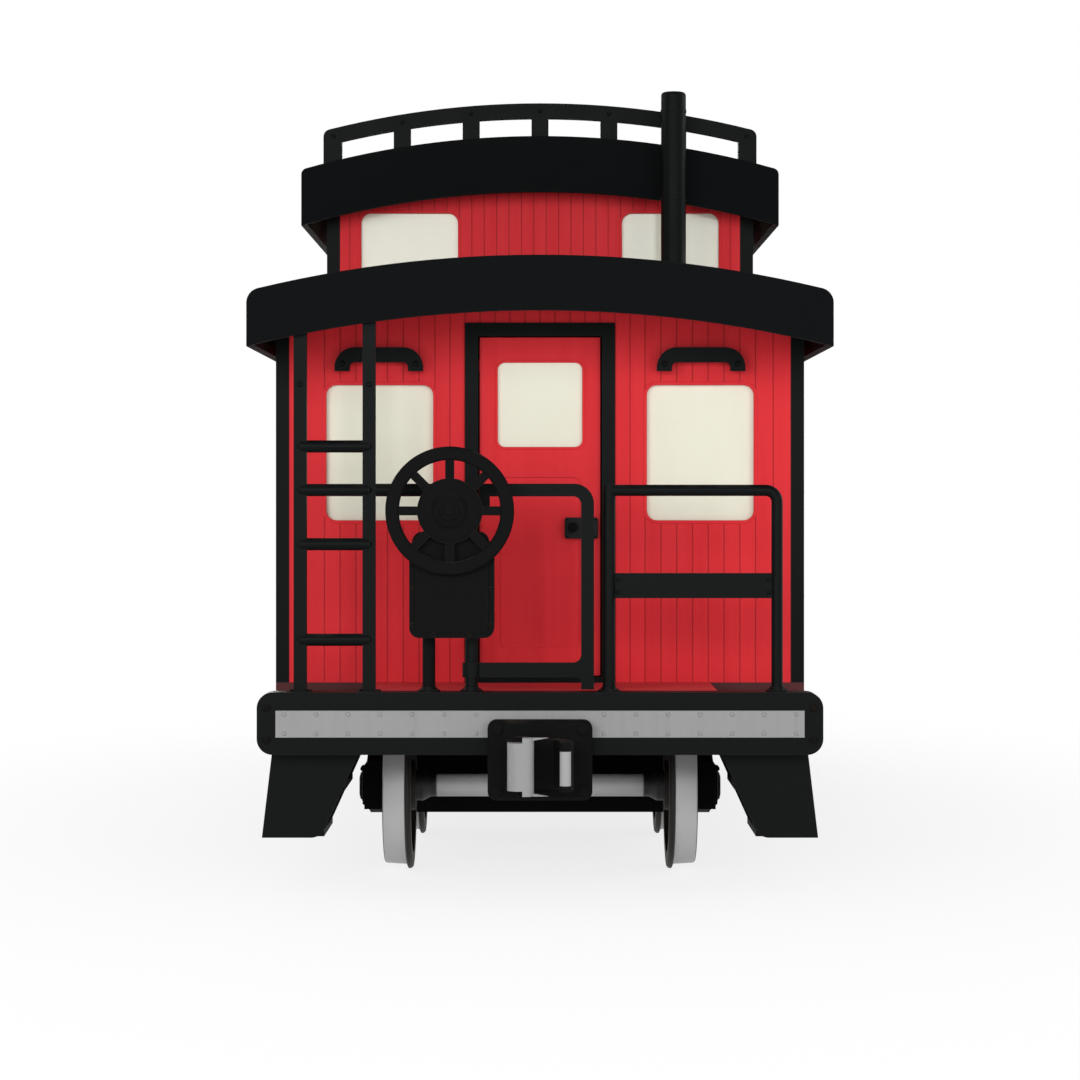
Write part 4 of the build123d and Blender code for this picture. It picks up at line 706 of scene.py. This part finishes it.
# %% Rivet the plate and bolt the striker
rivet_pitch = 0.16
rivet_rows = (0.812, 0.908)
striker_half = 0.30
striker_face = sill_face + 0.090
beam_bolt_places = [(x, z) for x in (-1.368, 1.368) for z in (0.78, 0.94)]
striker_bolt_places = [(x, z) for x in (-0.212, 0.212) for z in (0.535, 0.835)]
plate_rivets = bmesh.new()
beam_bolts = bmesh.new()
for sign in ends.values():
    outwards = (0, -sign, 0)
    for x in spread(17, rivet_pitch):
        for z in rivet_rows:
            if abs(x) > striker_half:
                rivet(plate_rivets, at_end(sign, x, -plate_face, z), outwards, 0.011)
    for x, z in beam_bolt_places:
        bolt(beam_bolts, at_end(sign, x, -sill_face, z), outwards, 0.022)
    for x, z in striker_bolt_places:
        bolt(beam_bolts, at_end(sign, x, -striker_face, z), outwards, 0.030)
piece_from(plate_rivets, "sill_plate_rivets", plate_grey, "carbody")
piece_from(beam_bolts, "end_beam_bolts", iron)

# %% [markdown]
# ## Feet of the posts
# A post that only met the deck would look stuck on. Every railing post stands in a round floor flange with a
# raised collar and three bolts, and the ladder's flat stiles stand on small feet with a bolt on each side.

# %% Floor flanges and ladder feet
flange_profile = (
    (0.058, 0), (0.058, 0.007), (0.055, 0.009), (0.040, 0.010), (0.0365, 0.026), (0.0325, 0.028),
)
flange_bolts = 3
bolt_circle = 0.048
bolt_seat = 0.008
post_places = (-0.558, -0.344, 0.347, 1.191)
stile_places = (-1.204, -0.858)
stile_bolt_shift = 0.046
floor_feet = bmesh.new()
for sign in ends.values():
    for x in post_places:
        centre = at_end(sign, x, -rail_plane, deck_top)
        turn(floor_feet, centre, up, flange_profile, sides=28)
        for step in range(flange_bolts):
            angle = math.tau * (step + 0.25) / flange_bolts
            spoke = Vector((bolt_circle * math.cos(angle), bolt_circle * math.sin(angle), bolt_seat))
            bolt(floor_feet, Vector(centre) + spoke, up, 0.0085)
    for x in stile_places:
        for shift in (-stile_bolt_shift, stile_bolt_shift):
            bolt(floor_feet, at_end(sign, x + shift, -rail_plane, deck_top), up, 0.016)
piece_from(floor_feet, "floor_flanges", enamel, "carbody")

# %% [markdown]
# ## Ladder, railing and handle fixings
# The rungs are riveted through the stiles, the wide band to its posts and each grab handle at its two feet.
# The rivets of the roof rail follow the roof's arc, whose fall grows with the square of the distance from the
# middle.

# %% Rivets on ladder, band, handles and roof rails
stile_half = 0.020
band_half = 0.011
rung_heights = (1.278, 1.758, 2.030, 2.249, 2.56)
band_rivet_places = [(x, z) for x in (0.392, 1.150) for z in (1.518, 1.582)]
handle_feet = (-1.0375, -0.6525, 0.6525, 1.0375)
handle_face = 3.989
handle_height = 2.695
roof_post_pitch = 0.4205
roof_rail_face = 1.430
cupola_crown = 4.20
cupola_fall = 0.205
cupola_half = 1.456
rail_rise = 0.155
fixings = bmesh.new()
for sign in ends.values():
    outwards = (0, -sign, 0)
    for x in stile_places:
        for z in rung_heights:
            rivet(fixings, at_end(sign, x, -rail_plane - stile_half, z), outwards, 0.015)
    for x, z in band_rivet_places:
        rivet(fixings, at_end(sign, x, -rail_plane - band_half, z), outwards, 0.012)
    for x in handle_feet:
        rivet(fixings, at_end(sign, x, -handle_face, handle_height), outwards, 0.016)
    for x in spread(7, roof_post_pitch):
        z = cupola_crown - cupola_fall * (x / cupola_half) ** 2 + rail_rise
        rivet(fixings, at_end(sign, x, -roof_rail_face, z), outwards, 0.014)
piece_from(fixings, "rail_rivets", enamel, "carbody")

# %% [markdown]
# ## Hand brake
# The wheel is held on its shaft by a nut and a dished washer, and the gear housing is closed by a bolted
# cover. The nut rides with the wheel and the bolts stay with the housing.

# %% Wheel boss and cover bolts
boss_profile = (
    (0.150, 0), (0.150, 0.005), (0.142, 0.009), (0.100, 0.009),
    (0.088, 0.013), (0.080, 0.024), (0.066, 0.030),
)
nut_profile = ((0.050, 0), (0.050, 0.024), (0.043, 0.029))
shaft_profile = ((0.024, 0.020), (0.024, 0.040), (0.019, 0.045))
boss_place = (-0.448, -4.825, 1.926)
nut_depth = 0.029
cover_face = 4.770
cover_bolt_places = (
    (-0.634, 1.36), (-0.634, 1.54), (-0.245, 1.36), (-0.245, 1.54), (-0.53, 1.31), (-0.35, 1.31),
)
cover_bolts = bmesh.new()
for end, sign in ends.items():
    outwards = (0, -sign, 0)
    boss = bmesh.new()
    hub_face = at_end(sign, *boss_place)
    nut_seat = Vector(hub_face) + nut_depth * Vector(outwards)
    turn(boss, hub_face, outwards, boss_profile, sides=40)
    turn(boss, nut_seat, outwards, nut_profile, sides=6)
    turn(boss, nut_seat, outwards, shaft_profile, sides=20)
    piece_from(boss, f"brake_boss_{end}", iron, f"hand_brake_wheel_{end}")
    for x, z in cover_bolt_places:
        bolt(cover_bolts, at_end(sign, x, -cover_face, z), outwards, 0.013)
piece_from(cover_bolts, "housing_bolts", iron)

# %% [markdown]
# ## Coil springs
# The CAD solid of a spring is a stack of rings, which is right for weight and contact. To the eye a spring is
# one wire wound up, with its last turn closed flat on its seat. The wire is swept along a helix whose pitch
# fades out at both ends.

# %% Wind the springs
coil_turns = 5
steps_per_turn = 22
wire_sides = 8
end_closing = 0.11
coil_radius = 0.035
wire_radius = 0.0085
spring_seat = 0.307
spring_top = 0.440
spring_side = 0.895
spring_spacing = 0.094
truck_middle = 2.712
core_profile = ((0.021, 0.004), (0.021, 0.05), (0.019, 0.052))


def wind(shape, foot):
    """Sweep a round wire along a helix with closed ends, standing on its foot."""
    steps = coil_turns * steps_per_turn
    climb_room = spring_top - spring_seat - 2 * wire_radius
    upwards = Vector(up)
    rings = []
    for step in range(steps + 1):
        part = step / steps
        climb = part - end_closing * math.sin(math.tau * part)
        angle = math.tau * coil_turns * part
        outward = Vector((math.cos(angle), math.sin(angle), 0))
        centre = Vector(foot) + outward * coil_radius + upwards * (wire_radius + climb_room * climb)
        rings.append([
            shape.verts.new(centre + wire_radius * (math.cos(a) * outward + math.sin(a) * upwards))
            for a in (math.tau * side / wire_sides for side in range(wire_sides))
        ])
    skin(shape, rings)


for end, sign in ends.items():
    coils = bmesh.new()
    for side in (-1, 1):
        for shift in spread(3, spring_spacing):
            foot = (side * spring_side, shift - sign * truck_middle, spring_seat)
            wind(coils, foot)
            turn(coils, foot, up, core_profile, sides=12)
    coil_piece = piece_from(coils, f"spring_coils_{end}", spring_black, f"truck_{end}", 60)
    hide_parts(f"springs_{end}")

# %% [markdown]
# ## Axle box lids and truck bolts
# Each axle end runs in oiled waste behind a hinged lid. The lid is a domed plate with a lip and a hinge lug
# on top, held by four bolts. It is made from stacked copies of one rounded outline. Long column bolts clamp
# the side frame beside the bolster.

# %% Lids and column bolts
def rounded(width, height, radius, steps=5):
    """Corner points of a rounded rectangle about its middle."""
    points = []
    for quarter, (cx, cy) in enumerate(((1, 1), (-1, 1), (-1, -1), (1, -1))):
        centre_x = cx * (width / 2 - radius)
        centre_y = cy * (height / 2 - radius)
        for step in range(steps + 1):
            angle = math.pi / 2 * (quarter + step / steps)
            points.append((centre_x + radius * math.cos(angle), centre_y + radius * math.sin(angle)))
    return points


def plate(shape, outline, origin, across, along, layers):
    """Stack scaled copies of an outline outwards: layers are (scale, height) pairs."""
    across = Vector(across)
    along = Vector(along)
    out = across.cross(along)
    rings = []
    for scale, height in layers:
        middle = Vector(origin) + out * height
        rings.append([shape.verts.new(middle + scale * (px * across + py * along)) for px, py in outline])
    skin(shape, rings)


box_face = 0.940
lid_outline = rounded(0.168, 0.176, 0.03)
lid_layers = ((1.0, 0), (1.0, 0.010), (0.93, 0.014), (0.86, 0.014), (0.78, 0.024), (0.55, 0.030))
lug_profile = ((0.012, 0), (0.014, 0.002), (0.014, 0.088), (0.012, 0.090))
lid_bolt_places = [(dy, dz) for dy in (-0.098, 0.098) for dz in (-0.085, 0.085)]
column_bolt_places = [(dy, z) for dy in (-0.188, 0.188) for z in (0.275, 0.660)]
for end, sign in ends.items():
    lids = bmesh.new()
    for side in (-1, 1):
        outwards = (side, 0, 0)
        for axle_y in axle_rows.values():
            if axle_y * sign < 0:
                middle = Vector((side * box_face, axle_y, axle_height))
                plate(lids, lid_outline, middle, (0, side, 0), up, lid_layers)
                lug = middle + Vector((side * 0.012, -0.045, 0.092))
                turn(lids, lug, (0, 1, 0), lug_profile, sides=14)
                for dy, dz in lid_bolt_places:
                    bolt(lids, middle + Vector((0, dy, dz)), outwards, 0.014)
        for dy, z in column_bolt_places:
            bolt(lids, (side * box_face, dy - sign * truck_middle, z), outwards, 0.020)
    piece_from(lids, f"axle_box_lids_{end}", iron, f"truck_{end}")

# %% [markdown]
# ## Window casings
# A real window opening is trimmed by a thin casing in the wall's own colour. It shows only as a fine shadow
# round each pane. Each casing is six rounded outlines, joined last to first.

# %% Casings round every window
casing_proud = 0.004
casing_easing = 0.002


def casing(shape, window, middle, across, lip=0.018):
    """A flat ring round an opening of (width, height, corner radius), with softened edges."""
    width, height, radius = window
    across = Vector(across)
    upwards = Vector(up)
    out = across.cross(upwards)
    face = casing_proud - casing_easing
    rings = []
    for grow, proud in (
        (lip, 0), (lip, face), (lip - casing_easing, casing_proud),
        (casing_easing, casing_proud), (0, face), (0, 0),
    ):
        origin = Vector(middle) + out * proud
        outline = rounded(width + 2 * grow, height + 2 * grow, radius + grow)
        rings.append([shape.verts.new(origin + px * across + py * upwards) for px, py in outline])
    skin(shape, rings, hollow=True)


body_window = (0.564, 0.713, 0.053)
cupola_side_window = (0.760, 0.452, 0.060)
cupola_end_window = (0.598, 0.452, 0.060)
window_level = 2.2295
cupola_level = 3.526
end_walls = (
    (end_plane, body_window, window_level, (-0.845, 0.845)),
    (cupola_end_plane, cupola_end_window, cupola_level, (-0.806, 0.806)),
)
side_walls = (
    (side_plane, body_window, window_level, (-2.85, -0.95, 0.95, 2.85)),
    (cupola_side_plane, cupola_side_window, cupola_level, (-0.59, 0.59)),
)
casings = bmesh.new()
for sign in (-1, 1):
    for plane, window, level, middles in end_walls:
        for x in middles:
            casing(casings, window, at_end(sign, x, -plane, level), (sign, 0, 0))
    for plane, window, level, middles in side_walls:
        for y in middles:
            casing(casings, window, (sign * plane, y, level), (0, sign, 0))
piece_from(casings, "window_casings", panel_red, "carbody")

door_window = (0.446, 0.445, 0.037)
door_window_level = 2.4825
for end, sign in ends.items():
    door_trim = bmesh.new()
    middle = at_end(sign, 0, -door_front_face, door_window_level)
    casing(door_trim, door_window, middle, (sign, 0, 0), lip=0.014)
    piece_from(door_trim, f"door_casing_{end}", panel_red, f"end_door_{end}")

# %% [markdown]
# ## Wall boards
# The walls are boards nailed upright on a frame. A groove in the paint would only look like one from afar, so
# each board is a thin slab of its own with eased edges, and the gaps between them are real. A stretch of wall
# between two windows takes a whole number of boards. At a window they stop under the casing, whose ring hides
# their ends.

# %% Boards round windows
board_width = 0.078
board_gap = 0.004
casing_cover = 0.009
curve_steps = 6
board_layers = ((0.0, -0.0005), (0.0, 0.0005), (0.001, 0.0015))


def board_run(shape, start, stop, plane, foot, head, place, columns=2):
    """Fill a stretch of wall with upright boards, from foot to head."""
    count = max(1, round((stop - start) / board_width))
    pitch = (stop - start) / count
    for index in range(count):
        left = start + index * pitch + board_gap / 2
        width = pitch - board_gap
        rings = []
        for inset, proud in board_layers:
            steps = [left + inset + (width - 2 * inset) * step / (columns - 1) for step in range(columns)]
            outline = [(a, foot(a)) for a in steps] + [(a, head(a)) for a in reversed(steps)]
            rings.append([shape.verts.new(place(a, plane + proud, z)) for a, z in outline])
        skin(shape, rings)


def hidden(window, offset):
    """Half the height that a casing covers, at this distance from the window's middle."""
    width, height, radius = window
    past = max(0.0, abs(offset) - width / 2 + radius)
    return height / 2 - radius + math.sqrt(max(0.0, (radius + casing_cover) ** 2 - past ** 2))


def boarded(shape, start, stop, wall, foot, head, place):
    """Board a wall from start to stop, above and below each window between them."""
    plane, window, level, middles = wall
    reach = window[0] / 2 + casing_cover
    for middle in middles:
        if start < middle < stop:
            left, right = middle - reach, middle + reach
            board_run(shape, start, left, plane, foot, head, place)
            for low, high in (
                (foot, lambda a: level - hidden(window, a - middle)),
                (lambda a: level + hidden(window, a - middle), head),
            ):
                board_run(shape, left, right, plane, low, high, place, curve_steps)
            start = right
    board_run(shape, start, stop, plane, foot, head, place)


def arc(crown, bend=0.0):
    """Heights along a wall: level, or falling from a crown like a roof."""
    return lambda a: crown - bend * a ** 2


def on_side(side):
    """Places on this side: along the car, out from its middle, up."""
    return lambda a, out, z: (side * out, a, z)


def on_end(sign):
    """Places on this end: across the car, out from its middle, up."""
    return lambda a, out, z: at_end(sign, a, -out, z)


print("boards about", board_width, "m wide")

# %% [markdown]
# ## Boards of the body
# The long sides are boarded between their corner posts up to the eaves. At the ends the boards stop at the
# door frame, run on above it, and follow the arch of the roof.

# %% Board the sides and ends
wall_end = 3.830
post_edge = 1.322
door_edge = 0.395
on_deck = arc(deck_top + 0.001)
at_eaves = arc(2.968)
over_door = arc(2.914)
under_roof = arc(3.115, 0.0834)
body_side, cupola_side = side_walls
body_end, cupola_end = end_walls
boards = bmesh.new()
for side in (-1, 1):
    boarded(boards, -wall_end, wall_end, body_side, on_deck, at_eaves, on_side(side))
for sign in ends.values():
    for start, stop in ((-post_edge, -door_edge), (door_edge, post_edge)):
        boarded(boards, start, stop, body_end, on_deck, under_roof, on_end(sign))
    board_run(boards, -door_edge, door_edge, end_plane, over_door, under_roof, on_end(sign))
print("body boards", len(boards.faces), "faces")

# %% [markdown]
# ## Boards of the cupola
# The cupola stands on the arched roof, so its end boards start on that arch. Their heads are straight,
# because the cupola's own roof hides them.

# %% Board the cupola
cupola_wall_end = 1.120
cupola_post_edge = 1.237
beside_roof = arc(3.062)
over_roof = arc(3.207, 0.0837)
cupola_head = arc(3.950)
for side in (-1, 1):
    start, stop = -cupola_wall_end, cupola_wall_end
    boarded(boards, start, stop, cupola_side, beside_roof, cupola_head, on_side(side))
for sign in ends.values():
    start, stop = -cupola_post_edge, cupola_post_edge
    boarded(boards, start, stop, cupola_end, over_roof, cupola_head, on_end(sign))
piece_from(boards, "wall_boards", panel_red, "carbody")

# %% [markdown]
# ## Door lock
# The rim lock carries a round knob and a keyhole plate, and four rivets hold its case. They ride with the
# door, so they swing with it.

# %% Knob, keyhole plate and rivets
lock_face = 3.901
knob_place = (0.172, -lock_face, 1.838)
keyhole_place = (0.245, -lock_face, 1.835)
lock_rivet_places = [(x, z) for x in (0.142, 0.294) for z in (1.786, 1.878)]
knob_profile = (
    (0.024, 0), (0.024, 0.004), (0.011, 0.007), (0.010, 0.022),
    (0.020, 0.027), (0.026, 0.036), (0.024, 0.046), (0.014, 0.052),
)
keyhole_outline = rounded(0.022, 0.042, 0.010)
keyhole_layers = ((1.0, 0), (1.0, 0.002), (0.85, 0.003))
for end, sign in ends.items():
    outwards = (0, -sign, 0)
    lock = bmesh.new()
    turn(lock, at_end(sign, *knob_place), outwards, knob_profile, sides=24)
    plate(lock, keyhole_outline, at_end(sign, *keyhole_place), (sign, 0, 0), up, keyhole_layers)
    for x, z in lock_rivet_places:
        rivet(lock, at_end(sign, x, -lock_face, z), outwards, 0.006)
    piece_from(lock, f"lock_knob_{end}", iron, f"end_door_{end}")

# %% [markdown]
# ## Knuckle pins
# The knuckle turns on a pin through the coupler's two ears. Its square head sits on the upper ear, and its
# foot comes out under the lower one.

# %% Pin heads
pin_x = -0.100
pin_y = -5.000
upper_ear = 0.808
lower_ear = 0.556
pin_head_profile = ((0.040, -0.006), (0.040, 0.006), (0.034, 0.012))
pin_foot_profile = ((0.019, 0), (0.019, 0.022), (0.015, 0.026))
heads = bmesh.new()
for sign in ends.values():
    head_place = at_end(sign, pin_x, pin_y, upper_ear)
    turn(heads, head_place, up, pin_head_profile, sides=4, spin=math.pi / 4)
    foot_place = at_end(sign, pin_x, pin_y, lower_ear)
    turn(heads, foot_place, (0, 0, -1), pin_foot_profile, sides=14)
piece_from(heads, "knuckle_pin_heads", iron)

# %% [markdown]
# ## Stovepipe bands
# The stovepipe is rolled sheet, closed by a thin band at each joint. A band is a hollow turned form, so its
# last ring is joined to its first.

# %% Bands round the stovepipe
pipe_x = 0.807
pipe_y = -1.600
band_heights = (3.27, 3.80, 4.33)
band_profile = ((0.0760, -0.011), (0.0785, -0.009), (0.0785, 0.009), (0.0760, 0.011))
bands = bmesh.new()
for z in band_heights:
    turn(bands, (pipe_x, pipe_y, z), up, band_profile, sides=40, hollow=True)
piece_from(bands, "stovepipe_bands", enamel, "carbody")

# %% [markdown]
# ## Step treads
# A wet boot needs grip, so each tread carries a steel plate with raised bars. The bars are low and eased, and
# run along the car so that a foot sliding outwards meets them.

# %% Raised bars on the treads
treads = ((0.785, 0.895, 1.343), (0.545, 0.978, 1.371), (0.312, 1.093, 1.398))
tread_y = 4.230
tread_margin = 0.03
bar_pitch = 0.034
bar_outline = rounded(0.012, 0.55, 0.005, 2)
bar_layers = ((1.0, -0.0005), (1.0, 0.002), (0.9, 0.0035))
bars = bmesh.new()
for tread_top, inner, outer in treads:
    count = int((outer - inner - 0.04) / bar_pitch)
    for index in range(count):
        x = inner + tread_margin + index * (outer - inner - 2 * tread_margin) / (count - 1)
        for side in (-1, 1):
            for sign in (-1, 1):
                middle = (side * x, sign * tread_y, tread_top)
                plate(bars, bar_outline, middle, (1, 0, 0), (0, 1, 0), bar_layers)
piece_from(bars, "tread_bars", iron)

# %% [markdown]
# ## Reservoir straps
# The air reservoir hangs in two steel straps under the floor, and its domed ends are riveted on. The brake
# cylinder's head is a bolted ring.

# %% Straps and rings under the floor
reservoir_x = -0.850
gear_height = 0.720
strap_places = (0.3, 0.7)
strap_profile = ((0.1902, -0.025), (0.194, -0.025), (0.194, 0.025), (0.1902, 0.025))
seam_places = (0.175, 0.825)
seam_radius = 0.189
cylinder_head = (0.820, 0.489, gear_height)
head_bolt_circle = 0.169


def spokes(count):
    """Directions round a circle that faces along the car."""
    angles = [math.tau * step / count for step in range(count)]
    return [Vector((math.cos(angle), 0, math.sin(angle))) for angle in angles]


gear = bmesh.new()
for y in strap_places:
    turn(gear, (reservoir_x, y, gear_height), (0, 1, 0), strap_profile, sides=48, hollow=True)
for y in seam_places:
    for spoke in spokes(24):
        rivet(gear, Vector((reservoir_x, y, gear_height)) + seam_radius * spoke, spoke, 0.008)
for spoke in spokes(10):
    bolt(gear, Vector(cylinder_head) + head_bolt_circle * spoke, (0, -1, 0), 0.010)
piece_from(gear, "brake_gear_bands", iron)

# %% [markdown]
# ## Stage
# The floor is plain and pale. Only the camera and reflections see it glow white, so it fades into the
# background and sheds no light on the walls. Near the car its own paint shows through and takes the shadow.

# %% Floor that is white to the camera
def floor_finish():
    """Pale floor that is white to the camera and still takes the car's shadow."""
    paint = Finish("pale_floor")
    sight = paint.node("ShaderNodeLightPath", out=None).outputs
    seen = Wire(paint, sight["Is Camera Ray"]).most(Wire(paint, sight["Is Glossy Ray"]))
    pale = paint.mix(paint.noise(3.0, 4.0) * 0.3, (0.86, 0.86, 0.86), (0.9, 0.9, 0.9))
    surface = paint.node("ShaderNodeBsdfPrincipled", sockets={"Base Color": pale, "Roughness": 0.9})
    white = paint.node("ShaderNodeEmission", sockets={"Color": (1, 1, 1, 1), "Strength": 1.0})
    away = ((paint.x * 1.6) ** 2 + (paint.y * 0.8) ** 2) ** 0.5
    amount = seen * (0.8 + away.rise(2.0, 9.0) * 0.2)
    blend = paint.node("ShaderNodeMixShader", sockets={0: amount, 1: surface, 2: white})
    paint.node("ShaderNodeOutputMaterial", sockets={0: blend}, out=None)
    return paint.material


floor_half = 90.0
floor_corners = [(x * floor_half, y * floor_half, 0) for x, y in ((-1, -1), (1, -1), (1, 1), (-1, 1))]
floor_mesh = bpy.data.meshes.new("studio_floor")
floor_mesh.from_pydata(floor_corners, [], [(0, 1, 2, 3)])
floor_mesh.materials.append(floor_finish())
floor = bpy.data.objects.new("studio_floor", floor_mesh)
bpy.context.scene.collection.objects.link(floor)
print("floor", 2 * floor_half, "m across")

# %% [markdown]
# ## Sky
# An even sky fills the shadows from all sides. The camera sees plain white in its place, so the background
# can be white without more light on the car.

# %% Sky
sky = Finish("sky", bpy.data.worlds)
sight = sky.node("ShaderNodeLightPath", out=None).outputs
seen = Wire(sky, sight["Is Camera Ray"]).most(Wire(sky, sight["Is Transmission Ray"]))
soft = sky.node("ShaderNodeBackground", sockets={"Color": (0.97, 0.98, 1.0, 1), "Strength": 0.5})
plain = sky.node("ShaderNodeBackground", sockets={"Color": (1, 1, 1, 1), "Strength": 1.0})
blend = sky.node("ShaderNodeMixShader", sockets={0: seen, 1: soft, 2: plain})
sky.node("ShaderNodeOutputWorld", sockets={0: blend}, out=None)
bpy.context.scene.world = sky.material
print("sky", sky.material.name)

# %% [markdown]
# ## Lamps
# Broad soft lamps stand round the car: three before the end that the camera sees, one beside each wall and
# one behind. Their size keeps the shadows soft, and their power shows each paint about as it was mixed.

# %% Lamps
def lamp(name, place, target, side, power):
    """A square soft lamp that looks at a point."""
    data = bpy.data.lights.new(name, "AREA")
    data.shape = "SQUARE"
    data.size = side
    data.energy = power
    light = bpy.data.objects.new(name, data)
    light.location = place
    light.rotation_euler = (Vector(target) - Vector(place)).to_track_quat("-Z", "Y").to_euler()
    bpy.context.scene.collection.objects.link(light)


lamp("key_lamp", (-7, -18, 4.5), (0, -3, 2), 7.0, 840)
lamp("front_lamp", (0, -21, 6.5), (0, -3, 2), 6.0, 660)
lamp("fill_lamp", (8, -18, 3.2), (0, -3, 2), 8.0, 680)
lamp("side_lamp", (17, 3, 6), (0, 0, 2), 8.0, 780)
lamp("far_side_lamp", (-17, 3, 6), (0, 0, 2), 8.0, 780)
lamp("back_lamp", (-3, 19, 5), (0, 3, 2), 8.0, 1300)
bpy.context.scene.view_settings.view_transform = "Standard"
print("lamps", len(bpy.data.lights))
